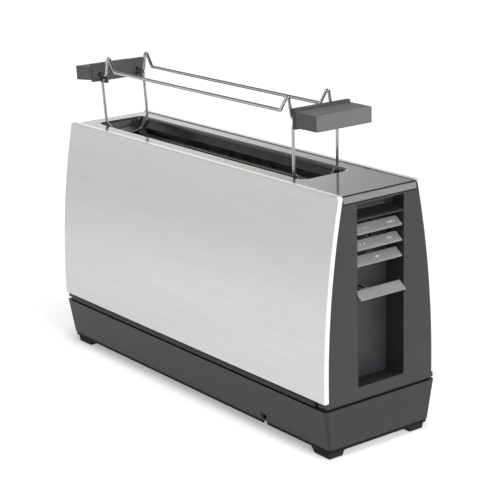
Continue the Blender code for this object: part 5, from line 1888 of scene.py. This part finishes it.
@dataclass
class Controls:
    """The window, the three slatted keys, their signs and the lever."""

    shop: Workshop
    window_setback: float = 0.0010
    window_depth: float = 0.0110
    window_lip: float = 0.0005
    window_rise: float = 0.0038
    window_rim: float = 0.0025
    window_thickness: float = 0.0015
    key_face_x: float = 0.1988
    key_half_width: float = 0.0242
    lever_face_x: float = 0.2031
    lever_half_width: float = 0.0243
    lip: float = 0.0012
    rise: float = 0.0056
    setback: float = 0.0075
    thickness: float = 0.0024
    switch_face_x: float = 0.1726
    key_press: float = 0.0012
    rock_room: float = 0.0003
    boss_depth: float = 0.0085
    boss_half_width: float = 0.0037
    arm_half_thickness: float = 0.0015
    arm_height: float = 0.0060
    arm_rise: float = 0.0010
    socket_depth: float = 0.0050
    edge: float = 0.00035
    window_edge: float = 0.0002
    printer: SignPrinter = field(default_factory=SignPrinter)

    def slat(self, face_x: float, bottom_z: float, half_width: float) -> Solid:
        """A tilted slat, its lower edge foremost.

        Args:
            face_x: The lip's foremost place.
            bottom_z: The lower edge's height.
            half_width: Half the slat's width.

        Returns:
            The slat.
        """
        lip_z = bottom_z + self.lip
        top_x = face_x - self.setback
        top_z = lip_z + self.rise
        outline = [
            (face_x, bottom_z),
            (face_x, lip_z),
            (top_x, top_z),
            (top_x - self.thickness / 2, top_z),
            (top_x - self.thickness / 2, top_z - self.thickness),
            (face_x - self.thickness, bottom_z),
        ]
        return Solid.prism(outline, Axis.Y, -half_width, half_width)

    def build_key(self, key: Key, index: int) -> None:
        """Make a key.

        Args:
            key: The key.
            index: Its place, counted from the lowest.
        """
        bottom = FRAME.key_lowest_z + FRAME.key_pitch * index
        middle = bottom + self.lip + self.rise / 2
        slat = self.slat(self.key_face_x, bottom, self.key_half_width)
        back = self.switch_face_x + (self.rock_room if index else self.key_press)
        stem = Solid.box(
            (back, self.key_face_x - self.setback),
            around(0.0, FRAME.stem_half_width),
            around(middle, FRAME.stem_height / 2),
        )
        slat.join(stem)
        if index:
            slat.cut(
                Solid.rod(
                    FRAME.pin_radius,
                    (FRAME.pin_x, 0.0, middle - FRAME.stem_height),
                    (FRAME.pin_x, 0.0, middle + FRAME.stem_height),
                )
            )
        self.shop.place(
            slat.round_edges(self.edge).shade(),
            f"{key.name}_slat",
            KEY_PLASTIC,
            Slot.KEY,
            [key.name],
            key.body,
        )

    def print_sign(self, sign: Sign, y: float, index: int) -> None:
        """Print a sign on a key's slope.

        Args:
            sign: The sign.
            y: Its place across the key.
            index: The key, counted from the lowest.
        """
        up = Vector((-self.setback, 0.0, self.rise)).normalized()
        right = Vector((0.0, 1.0, 0.0))
        out = right.cross(up)
        bottom = FRAME.key_lowest_z + FRAME.key_pitch * index
        place = Matrix((right, up, out)).transposed().to_4x4()
        place.translation = (
            self.key_face_x - self.setback / 2,
            y,
            bottom + self.lip + self.rise / 2,
        )
        ink = self.printer.draw(sign)
        ink.thing.data.transform(place)
        body = KEYS_UPWARDS[index].body
        self.shop.place(ink, f"sign_{sign.value}", LABEL_INK, Slot.PALE, body=body)

    def build_lever(self) -> None:
        """Make the lever's slat with the boss that takes its arm."""
        bottom = FRAME.lever_z
        knob = self.slat(self.lever_face_x, bottom, self.lever_half_width)
        root = self.lever_face_x - self.setback
        back = root - self.boss_depth
        ys = around(FRAME.arm_y, self.boss_half_width)
        tip = self.lever_face_x - self.thickness
        web = Solid.box((back, tip), ys, (bottom, bottom + self.lip))
        block = Solid.box((back, root), ys, (bottom, bottom + self.lip + self.rise))
        knob.join(web, block)
        low_z = bottom + self.arm_rise
        socket = Solid.box(
            (back - FRAME.over, back + self.socket_depth + FRAME.gap),
            around(FRAME.arm_y, self.arm_half_thickness + FRAME.gap),
            (low_z - FRAME.gap, low_z + self.arm_height + FRAME.gap),
        )
        knob.cut(socket)
        self.shop.place(
            knob.round_edges(self.edge).shade(),
            "lever_slat",
            KEY_PLASTIC,
            Slot.KEY,
            ["lever_knob"],
            Body.LEVER,
        )

    def build_window(self) -> None:
        """Make the black window above the shelf, tilted up to an upright rim."""
        face = FRAME.cap_face_x - self.window_setback
        back = face - self.window_depth
        thick = self.window_thickness
        low = FRAME.shelf_z + FRAME.shelf_thickness + FRAME.gap
        slope = low + self.window_lip + self.window_rise
        rim = slope + self.window_rim
        outline = [
            (face, low),
            (face, low + self.window_lip),
            (back, slope),
            (back, rim),
            (back - thick, rim),
            (back - thick, slope - thick),
            (face - 2 * thick, low),
        ]
        half = FRAME.recess_half_width - FRAME.gap
        pane = Solid.prism(outline, Axis.Y, -half, half)
        self.shop.place(
            pane.round_edges(self.window_edge).shade(),
            "black_window",
            WINDOW_GLOSS,
            Slot.WINDOW,
            ["display_window"],
        )

    def build(self) -> None:
        """Make the window, the keys, their signs and the lever."""
        self.build_window()
        for index, key in enumerate(KEYS_UPWARDS):
            self.build_key(key, index)
            for sign, y in key.signs:
                self.print_sign(sign, y, index)
        self.build_lever()


# The base


@dataclass
class BaseUnit:
    """The tapered base tray with its plinth and the four rubber feet."""

    shop: Workshop
    bottom_z: float = 0.0099
    top_z: float = 0.0448
    plinth_top_z: float = 0.0467
    top_half_length: float = 0.2001
    top_half_width: float = 0.0603
    bottom_half_length: float = 0.1984
    bottom_half_width: float = 0.0549
    corner: float = 0.0030
    corner_steps: int = 6
    plinth_bite: float = 0.0060
    plinth_end_inset: float = 0.0036
    plinth_side_inset: float = 0.0033
    floor: float = 0.0022
    inner_half_length: float = 0.1940
    inner_half_width: float = 0.0510
    edge: float = 0.0005
    screw_x: float = 0.1619
    screw_y: float = 0.0458
    boss_radius: float = 0.0040
    hole_radius: float = 0.0019
    tray_half_width: float = 0.0400
    tray_z: float = 0.0280
    tray_height: float = 0.0130
    tray_fit: float = 0.0006
    tray_inner_x: float = 0.1280
    tray_front_x: float = -0.1980
    tray_front_thickness: float = 0.0026
    runner_inset: float = 0.0020
    runner_width: float = 0.0026
    outlet_x: float = 0.1120
    outlet_half_width: float = 0.0036
    outlet_height: float = 0.0068
    outlet_depth: float = 0.0063
    foot_height: float = 0.0096
    foot_outer_x: float = 0.1940
    foot_inner_x: float = 0.1746
    foot_outer_y: float = 0.0518
    foot_inner_y: float = 0.0375
    foot_flare: float = 0.0015
    foot_inner_flare: float = 0.0061
    foot_inner_side_flare: float = 0.0030
    foot_edge: float = 0.0007
    rim_inset: float = 0.0007
    rim_wall: float = 0.0008
    rim_low_z: float = 0.0069
    rim_notch: float = 0.0022

    def outside(self) -> Solid:
        """The tray's tapered outside with its plinth.

        Returns:
            The outside.
        """
        base = Solid.tapered(
            centred(self.bottom_half_length, self.bottom_half_width),
            centred(self.top_half_length, self.top_half_width),
            self.bottom_z,
            self.top_z,
            self.corner,
            self.corner_steps,
        )
        reach = self.top_half_length - self.plinth_end_inset
        width = self.top_half_width - self.plinth_side_inset
        plinth = Solid.box(
            around(0.0, reach),
            around(0.0, width),
            (self.top_z - self.plinth_bite, self.plinth_top_z),
        )
        return base.join(plinth)

    def inside(self) -> tuple[list[Solid], list[Solid]]:
        """The runners and bosses in the tray, and the screws' holes.

        Returns:
            What is joined on and what is cut away.
        """
        parts = []
        holes = []
        low = self.bottom_z
        high = self.plinth_top_z
        front = self.tray_front_x + self.tray_front_thickness + FRAME.gap
        runner_zs = (low + FRAME.gap, self.tray_z - FRAME.gap)
        outer = self.tray_half_width - self.runner_inset
        for side in (-1, 1):
            ys = sorted((side * outer, side * (outer - self.runner_width)))
            parts.append(Solid.box((front, self.tray_inner_x), ys, runner_zs))
            for along in (-1, 1):
                x = along * self.screw_x
                y = side * self.screw_y
                start = (x, y, low + FRAME.gap)
                parts.append(Solid.rod(self.boss_radius, start, (x, y, high - FRAME.gap)))
                start = (x, y, low - FRAME.over)
                holes.append(Solid.rod(self.hole_radius, start, (x, y, high + FRAME.over)))
        return parts, holes

    def build_tray(self) -> None:
        """Make the base tray."""
        base = self.outside()
        hollow = Solid.box(
            around(0.0, self.inner_half_length),
            around(0.0, self.inner_half_width),
            (self.bottom_z + self.floor, self.plinth_top_z + FRAME.over),
        )
        base.cut(hollow)
        parts, holes = self.inside()
        base.join(*parts).cut(*holes)
        mouth = Solid.box(
            (-self.top_half_length - FRAME.over, -self.inner_half_length + FRAME.over),
            around(0.0, self.tray_half_width + self.tray_fit),
            (self.tray_z - FRAME.gap, self.tray_z + self.tray_height + self.tray_fit),
        )
        outlet = Solid.box(
            around(self.outlet_x, self.outlet_half_width),
            (-self.top_half_width - FRAME.over, -self.bottom_half_width + self.outlet_depth),
            (self.bottom_z - FRAME.over, self.bottom_z + self.outlet_height),
        )
        self.shop.place(
            base.cut(mouth, outlet).round_edges(self.edge).shade(),
            "base_housing",
            BASE_PLASTIC,
            Slot.BASE,
            ["base_tray"],
        )

    def build_shade_rim(self) -> None:
        """Make the thin, very dark rim that stands under the tray, open at the outlet, as
        painted shade beneath the base.
        """
        length = self.bottom_half_length - self.rim_inset
        width = self.bottom_half_width - self.rim_inset
        top = self.bottom_z - FRAME.gap / 3
        outer = centred(length, width)
        inner = centred(length - self.rim_wall, width - self.rim_wall)
        low = self.rim_low_z
        corner = (self.corner, self.corner_steps)
        rim = Solid.tapered(outer, outer, low, top, *corner)
        space = Solid.tapered(inner, inner, low - FRAME.over, top + FRAME.over, *corner)
        notch = Solid.box(
            around(self.outlet_x, self.rim_notch),
            (-width - FRAME.over, 0.0),
            (low - FRAME.over, top + FRAME.over),
        )
        rim.cut(space, notch).shade()
        self.shop.place(rim, "base_painted_shade_rim", SHADE_RIM_DARK, Slot.BASE)

    def build_foot(self, end: End, flank: Flank) -> None:
        """Make one rubber foot, whose inner end slants.

        Args:
            end: The end of the toaster.
            flank: The side of the toaster.
        """

        def rect(low_x: float, low_y: float, high_x: float, high_y: float) -> Rect:
            """The rectangle moved to this foot's corner.

            Args:
                low_x: The side nearer the toaster's middle along X.
                low_y: The side nearer its middle along Y.
                high_x: The side further out along X.
                high_y: The side further out along Y.

            Returns:
                The rectangle.
            """
            xs = sorted((end.value * low_x, end.value * high_x))
            ys = sorted((flank.value * low_y, flank.value * high_y))
            return (xs[0], ys[0], xs[1], ys[1])

        foot = Solid.tapered(
            rect(
                self.foot_inner_x, self.foot_inner_y, self.foot_outer_x, self.foot_outer_y
            ),
            rect(
                self.foot_inner_x - self.foot_inner_flare,
                self.foot_inner_y - self.foot_inner_side_flare,
                self.foot_outer_x + self.foot_flare,
                self.foot_outer_y + self.foot_flare,
            ),
            0.0,
            self.foot_height,
        )
        place = f"{flank.name.lower()}_{end.name.lower()}"
        self.shop.place(
            foot.round_edges(self.foot_edge).shade(),
            f"rubber_foot_{place}",
            FOOT_RUBBER,
            Slot.RUBBER,
            [f"foot_{place}"],
        )

    def build(self) -> None:
        """Make the tray, the rim of painted shade under it, and its feet."""
        self.build_tray()
        self.build_shade_rim()
        for end in End:
            for flank in Flank:
                self.build_foot(end, flank)


# The bun rack


@dataclass
class BunRack:
    """Two handles, two long wires and two folding legs."""

    shop: Workshop
    plate_face: float = 0.1520
    plate_thickness: float = 0.0040
    half_width: float = 0.0295
    handle_depth: float = 0.0267
    bottom_z: float = 0.2638
    height: float = 0.0136
    handle_edge: float = 0.0009
    handle_edge_steps: int = 4
    plate_edge: float = 0.0003
    plate_bottom_reach: float = 0.0015
    plate_top_reach: float = 0.0022
    wire_radius: float = 0.0015
    wire_y: float = 0.0215
    wire_end_rise: float = 0.0052
    wire_run_rise: float = 0.0094
    wire_peak_rise: float = 0.0248
    wire_foot_in: float = 0.0105
    wire_peak_in: float = 0.0150
    wire_run_in: float = 0.0255
    wire_bend: float = 0.0022
    wire_socket: float = 0.0030
    socket_clearance: float = 0.00045
    leg_reach: float = 0.1455
    leg_half_width: float = 0.0236
    leg_radius: float = 0.0014
    leg_bend: float = 0.0030
    leg_in: float = 0.0065
    pivot_z: float = 0.2640
    toe_depth: float = 0.0125
    foot_sag: float = 0.0018
    pin_overhang: float = 0.0008
    ear_thickness: float = 0.0016
    ear_depth: float = 0.0058
    ear_bottom_reach: float = 0.0034
    ear_top_bite: float = 0.0026
    rear_lean: float = 5.5

    def x(self, end: End, reach: float) -> float:
        """A place along the rack, measured from its middle."""
        return FRAME.rack_x + end.value * reach

    def ear_ys(self) -> Flat:
        """The inner and outer side of the ear inside a leg's upright."""
        outer = self.leg_half_width - self.leg_bend - FRAME.gap
        return (outer - self.ear_thickness, outer)

    def lean_rear(self, solid: Solid, end: End) -> Solid:
        """Tip a piece of the rear handle down about its leg's pivot.

        Args:
            solid: The piece.
            end: The end that it belongs to.

        Returns:
            The same solid.
        """
        if end is End.REAR:
            pivot = Matrix.Translation((self.x(end, self.leg_reach), 0.0, self.pivot_z))
            turn = Matrix.Rotation(-math.radians(self.rear_lean), 4, "Y")
            solid.thing.data.transform(pivot @ turn @ pivot.inverted())
        return solid

    def wire_end_z(self, end: End) -> float:
        """The height at which the long wires enter a handle.

        Args:
            end: The handle's end.

        Returns:
            The height.
        """
        level = self.bottom_z + self.wire_end_rise
        if end is End.CONTROL:
            return level
        lean = math.radians(self.rear_lean)
        reach = self.plate_face + self.wire_socket / 2 - self.leg_reach
        rise = level - self.pivot_z
        return self.pivot_z + rise * math.cos(lean) - reach * math.sin(lean)

    def build_grip(self, end: End) -> None:
        """Make the plastic block of a handle.

        Args:
            end: The end of the toaster.
        """
        near = self.plate_face + self.plate_thickness + FRAME.gap
        xs = sorted((self.x(end, near), self.x(end, near + self.handle_depth)))
        heights = (self.bottom_z, self.bottom_z + self.height)
        block = Solid.box(xs, around(0.0, self.half_width), heights)
        block.round_edges(self.handle_edge, self.handle_edge_steps)
        name = end.name.lower()
        self.shop.place(
            self.lean_rear(block, end).shade(),
            f"rack_grip_{name}",
            GRIP_PLASTIC,
            Slot.HANDLE,
            [f"rack_block_{name}"],
            Body.RACK,
        )

    def build_plate(self, end: End) -> None:
        """Make the plate inside a handle, with sockets and ears.

        Args:
            end: The end of the toaster.
        """
        face = self.plate_face
        xs = sorted((self.x(end, face), self.x(end, face + self.plate_thickness)))
        top = self.bottom_z + self.height + self.plate_top_reach
        plate = Solid.box(
            xs,
            around(0.0, self.half_width),
            (self.bottom_z - self.plate_bottom_reach, top),
        )
        near = self.leg_reach - self.leg_in / 2
        far = near + self.ear_depth + self.leg_in
        ear_xs = sorted((self.x(end, near), self.x(end, far)))
        ear_zs = (self.pivot_z - self.ear_bottom_reach, self.pivot_z + self.ear_top_bite)
        ears = []
        ways = []
        leg_x = self.x(end, self.leg_reach)
        end_z = self.bottom_z + self.wire_end_rise
        hole = self.wire_radius + self.socket_clearance
        for hand in (-1, 1):
            ys = sorted(hand * y for y in self.ear_ys())
            ears.append(Solid.box(ear_xs, ys, ear_zs))
            ways.append(
                Solid.rod(
                    self.leg_radius + FRAME.gap,
                    (leg_x, ys[0] - FRAME.over, self.pivot_z),
                    (leg_x, ys[1] + FRAME.over, self.pivot_z),
                )
            )
            y = hand * self.wire_y
            ways.append(
                Solid.rod(
                    hole,
                    (self.x(end, face - FRAME.over), y, end_z),
                    (self.x(end, face + self.wire_socket + FRAME.gap), y, end_z),
                )
            )
        plate.join(*ears).cut(*ways)
        name = end.name.lower()
        self.shop.place(
            self.lean_rear(plate.round_edges(self.plate_edge), end).shade(),
            f"rack_bridge_{name}",
            PLATE_PLASTIC,
            Slot.HANDLE,
            [f"rack_plate_{name}"],
            Body.RACK,
        )

    def build_wire(self, flank: Flank) -> None:
        """Make a long wire, raised to a peak beside each handle.

        Args:
            flank: The side of the toaster.
        """
        y = flank.value * self.wire_y
        face = self.plate_face
        peak_z = self.bottom_z + self.wire_peak_rise
        run_z = self.bottom_z + self.wire_run_rise
        corners: list[Point] = []
        for end in (End.REAR, End.CONTROL):
            low_z = self.wire_end_z(end)
            half = [
                (self.x(end, face + self.wire_socket), y, low_z),
                (self.x(end, face - self.wire_foot_in), y, low_z),
                (self.x(end, face - self.wire_peak_in), y, peak_z),
                (self.x(end, face - self.wire_run_in), y, run_z),
            ]
            corners += half if end is End.REAR else half[::-1]
        name = flank.name.lower()
        self.shop.place(
            Solid.tube(bent_path(corners, self.wire_bend), self.wire_radius).shade(),
            f"long_wire_{name}",
            RACK_WIRE,
            Slot.WIRE,
            [f"rack_wire_{name}"],
            Body.RACK,
        )

    def build_leg(self, end: End, body: Body) -> None:
        """Make a folding leg, bent to a U that narrows below the slot's rim.

        Args:
            end: The end of the toaster.
            body: The body that it rides on.
        """
        slope = math.radians(FRAME.funnel_slope)
        seat = (self.leg_radius + FRAME.gap) / math.cos(slope)
        room = FRAME.slot_half_width - self.leg_half_width
        shoulder = FRAME.cover_top_z + (seat - room) / math.tan(slope)
        toe = shoulder - self.toe_depth
        toe_y = self.leg_half_width - self.toe_depth * math.tan(slope)
        pin_y = self.ear_ys()[0] - self.pin_overhang
        x = self.x(end, self.leg_reach)
        half = [
            (x, -pin_y, self.pivot_z),
            (x, -self.leg_half_width, self.pivot_z),
            (x, -self.leg_half_width, shoulder),
            (x, -toe_y, toe),
        ]
        foot = [(x, 0.0, toe - self.foot_sag)]
        other = [(px, -py, pz) for px, py, pz in reversed(half)]
        name = end.name.lower()
        path = bent_path(half + foot + other, self.leg_bend)
        self.shop.place(
            self.lean_rear(Solid.tube(path, self.leg_radius), end).shade(),
            f"leg_frame_{name}",
            RACK_WIRE,
            Slot.WIRE,
            [f"rack_leg_{name}"],
            body,
        )

    def build(self) -> None:
        """Make the rack."""
        for end in End:
            self.build_grip(end)
            self.build_plate(end)
        for flank in Flank:
            self.build_wire(flank)
        self.build_leg(End.CONTROL, Body.LEG_CONTROL)
        self.build_leg(End.REAR, Body.LEG_REAR)


# The works inside


@dataclass
class Works:
    """The CAD nodes that keep their solids and take finishes."""

    shop: Workshop
    sheet: tuple[str, ...] = (
        "chassis_end_control",
        "chassis_end_rear",
        "rod_bracket",
        "guide_rod",
        "keeper_plate",
        "magnet_core",
        "base_screw_1",
        "base_screw_2",
        "base_screw_3",
        "base_screw_4",
        "crumb_pan",
    )
    chamber: tuple[str, ...] = ("reflector_front", "reflector_back", "bread_shelf")
    guides: tuple[str, ...] = ("guide_grid_front", "guide_grid_back")
    mica: tuple[str, ...] = ("heater_card_front", "heater_card_back")
    heaters: tuple[str, ...] = ("heater_winding_front", "heater_winding_back")
    blackened: tuple[str, ...] = ("lever_arm", "key_pin")
    pale: tuple[str, ...] = ("carriage_block", "terminal_block")
    switches: tuple[str, ...] = (
        "key_browning_switch",
        "key_program_switch",
        "key_cancel_switch",
    )

    def dress(self) -> None:
        """Give each node its finish."""
        self.shop.dress(self.sheet, SHEET_STEEL)
        self.shop.dress(self.chamber, CHAMBER_STEEL)
        self.shop.dress(self.guides, GUIDE_STEEL)
        self.shop.dress(self.mica, MICA_SHEET)
        self.shop.dress(self.heaters, HEATER_RIBBON)
        self.shop.dress(self.blackened, BLACKENED_STEEL)
        self.shop.dress(self.pale, PALE_PLASTIC)
        self.shop.dress(self.switches, KEY_PLASTIC)
        self.shop.dress(("return_spring",), SPRING_STEEL)
        self.shop.dress(("magnet_coil",), WINDING_COPPER)
        self.shop.dress(("control_board",), BOARD_LAMINATE)
        self.shop.dress(("crumb_tray_front",), BASE_PLASTIC)
        self.shop.dress(("cord_gland",), BASE_PLASTIC)


# The studio


@dataclass(frozen=True)
class Patch:
    """A darker patch of the sky that fades out round its middle."""

    middle: Point
    edges: Flat
    tone: float


@dataclass
class Studio:
    """The floor, the light and the camera."""

    floor_size: float = 12.0
    floor_white: float = 0.92
    floor_bounce: float = 0.30
    floor_glow: float = 0.36
    floor_gloss_middle: Point = (-0.35, -0.35, 0.0)
    floor_gloss_edges: Flat = (0.0, 1.3)
    floor_gloss_tones: Flat = (0.30, 0.05)
    dark_spot_middle: Point = (1.25, -0.55, 0.0)
    dark_spot_edges: Flat = (0.45, 0.95)
    dark_spot_share: float = 0.65
    dark_spot_tone: float = 0.05
    sky_steps: tuple[Flat, ...] = (
        (0.0, 1.0),
        (0.245, 1.0),
        (0.32, 0.72),
        (0.46, 0.30),
        (0.80, 0.10),
        (1.0, 0.08),
    )
    sky_patches: tuple[Patch, Patch] = (
        Patch((-0.484, 0.838, 0.250), (0.906, 0.974), 0.40),
        Patch((0.80, -0.59, 0.10), (0.40, 0.95), 0.20),
    )
    sky_lean: Point = (0.90, -0.10, 0.35)
    sky_lean_edges: Flat = (-0.15, 0.90)
    sky_lean_tones: Flat = (0.04, 1.05)
    sun_strength: float = 1.0
    sun_angle: float = 14.0
    sun_tilt: Flat = (4.0, 6.0)
    side_power: float = 58.0
    side_size: float = 1.6
    side_place: Point = (2.6, -0.1, 0.6)
    side_aim: Point = (0.1, 0.0, 0.15)
    camera_place: Point = (1.117397, -0.820073, 0.532600)
    yaw: float = 0.925608
    pitch: float = 0.285678129
    roll: float = -0.0267343948
    lens: float = 114.28
    sensor: float = 36.0

    def build_floor(self) -> None:
        """Lay the pale floor, which gives less light back to matt surfaces."""
        bm = bmesh.new()
        bmesh.ops.create_grid(bm, x_segments=1, y_segments=1, size=self.floor_size / 2)
        mesh = bpy.data.meshes.new("studio_floor")
        bm.to_mesh(mesh)
        bm.free()
        floor = bpy.data.objects.new("studio_floor", mesh)
        bpy.context.scene.collection.objects.link(floor)
        board = NodeBoard("studio_floor_paper")
        rays = board.add("ShaderNodeLightPath").outputs
        place = board.add("ShaderNodeTexCoord").outputs["Object"]
        white = grey(self.floor_white)
        paper = board.blend(rays["Is Diffuse Ray"], white, grey(self.floor_bounce))
        # Seen only in reflections, the floor turns darker in a round spot on the camera's
        # side: a painted dark reflection.
        away = board.measure("DISTANCE", place, self.dark_spot_middle)
        spot = board.fade(away, self.dark_spot_edges, (self.dark_spot_share, 0.0))
        dark = board.reckon("MULTIPLY", spot, rays["Is Glossy Ray"])
        colour = board.blend(dark, paper, grey(self.dark_spot_tone))
        board.link(colour, board.shader.inputs["Base Color"])
        # Seen only in reflections, the floor glows, most strongly in front of the rear end
        # and fading outwards: a painted pool of light.
        away = board.measure("DISTANCE", place, self.floor_gloss_middle)
        shine = board.fade(away, self.floor_gloss_edges, self.floor_gloss_tones)
        gloss = board.reckon("MULTIPLY", shine, rays["Is Glossy Ray"])
        glow = board.reckon("MULTIPLY_ADD", rays["Is Camera Ray"], self.floor_glow, gloss)
        board.shader.inputs["Emission Color"].default_value = (*WHITE, 1.0)
        board.link(glow, board.shader.inputs["Emission Strength"])
        board.number("Roughness", 1.0)
        board.number("Specular IOR Level", 0.0)
        mesh.materials.append(board.material)
        floor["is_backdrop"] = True

    def build_sky(self) -> None:
        """Surround the scene with white for the camera and with tones for gloss."""
        world = bpy.data.worlds.new("white_studio")
        world.use_nodes = True
        world.cycles.sampling_method = "NONE"
        board = NodeTree(world.node_tree)
        board.tree.nodes.clear()
        rays = board.add("ShaderNodeLightPath").outputs
        camera = rays["Is Camera Ray"]
        seen = board.reckon("MAXIMUM", camera, rays["Is Glossy Ray"])
        seen = board.reckon("MAXIMUM", seen, rays["Is Transmission Ray"])
        direction = board.add("ShaderNodeTexCoord").outputs["Generated"]
        height = board.add("ShaderNodeSeparateXYZ")
        board.link(direction, height.inputs["Vector"])
        steps = [(rise, grey(tone)) for rise, tone in self.sky_steps]
        tones = board.ramp(height.outputs["Z"], steps)
        patches = []
        for patch in self.sky_patches:
            facing = board.measure("DOT_PRODUCT", direction, patch.middle)
            dim = (1.0, patch.tone)
            patches.append(board.fade(facing, patch.edges, dim, "SMOOTHSTEP"))
        shade = board.reckon("MULTIPLY", *patches)
        white = board.add("ShaderNodeBackground")
        board.link(board.blend(camera, tones, WHITE), white.inputs["Color"])
        board.link(board.reckon("MAXIMUM", camera, shade), white.inputs["Strength"])
        matt = board.add("ShaderNodeBackground")
        matt.inputs["Color"].default_value = (*WHITE, 1.0)
        lean = board.measure("DOT_PRODUCT", direction, self.sky_lean)
        bright = board.fade(lean, self.sky_lean_edges, self.sky_lean_tones)
        board.link(bright, matt.inputs["Strength"])
        mix = board.add("ShaderNodeMixShader")
        board.link(seen, mix.inputs["Fac"])
        board.link(matt.outputs["Background"], mix.inputs[1])
        board.link(white.outputs["Background"], mix.inputs[2])
        output = board.add("ShaderNodeOutputWorld")
        board.link(mix.outputs["Shader"], output.inputs["Surface"])
        bpy.context.scene.world = world

    def build_lamps(self) -> None:
        """Hang a soft sun overhead and a wide lamp beside the control end."""
        light = bpy.data.lights.new("overhead_sun", "SUN")
        light.energy = self.sun_strength
        light.angle = math.radians(self.sun_angle)
        sun = bpy.data.objects.new("overhead_sun", light)
        sun.rotation_euler = (*(math.radians(turn) for turn in self.sun_tilt), 0.0)
        bpy.context.scene.collection.objects.link(sun)
        light = bpy.data.lights.new("side_lamp", "AREA")
        light.energy = self.side_power
        light.size = self.side_size
        side = bpy.data.objects.new("side_lamp", light)
        side.visible_glossy = False
        side.location = self.side_place
        aim = Vector(self.side_aim) - Vector(self.side_place)
        side.rotation_euler = aim.to_track_quat("-Z", "Y").to_euler()
        bpy.context.scene.collection.objects.link(side)

    def build_camera(self) -> None:
        """Set the camera where the photograph was taken from."""
        data = bpy.data.cameras.new("photo_camera")
        data.lens = self.lens
        data.sensor_width = self.sensor
        camera = bpy.data.objects.new("photo_camera", data)
        look = Vector(
            (
                -math.sin(self.yaw) * math.cos(self.pitch),
                math.cos(self.yaw) * math.cos(self.pitch),
                -math.sin(self.pitch),
            )
        )
        level = Vector((math.cos(self.yaw), math.sin(self.yaw), 0.0))
        above = level.cross(look)
        right = math.cos(self.roll) * level + math.sin(self.roll) * above
        up = -math.sin(self.roll) * level + math.cos(self.roll) * above
        turn = Matrix((right, up, -look)).transposed().to_4x4()
        camera.matrix_world = Matrix.Translation(self.camera_place) @ turn
        bpy.context.scene.collection.objects.link(camera)
        bpy.context.scene.camera = camera

    def build(self) -> None:
        """Set up the studio."""
        self.build_floor()
        self.build_sky()
        self.build_lamps()
        self.build_camera()
        bpy.context.scene.view_settings.view_transform = "Standard"


def main() -> tuple[list[float], list[float]]:
    """Build the dressed toaster.

    Returns:
        The CAD model's lowest and highest corners.
    """
    logging.basicConfig(level=logging.INFO, format="%(name)s: %(message)s")
    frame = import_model()
    low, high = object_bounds()
    Studio().build()
    shop = Workshop(frame)
    SteelSides(shop).build()
    EndCaps(shop).build()
    TopCover(shop).build()
    Controls(shop).build()
    BaseUnit(shop).build()
    BunRack(shop).build()
    Works(shop).dress()
    return [float(n) for n in low], [float(n) for n in high]


if __name__ == "__main__":
    cad_box = main()
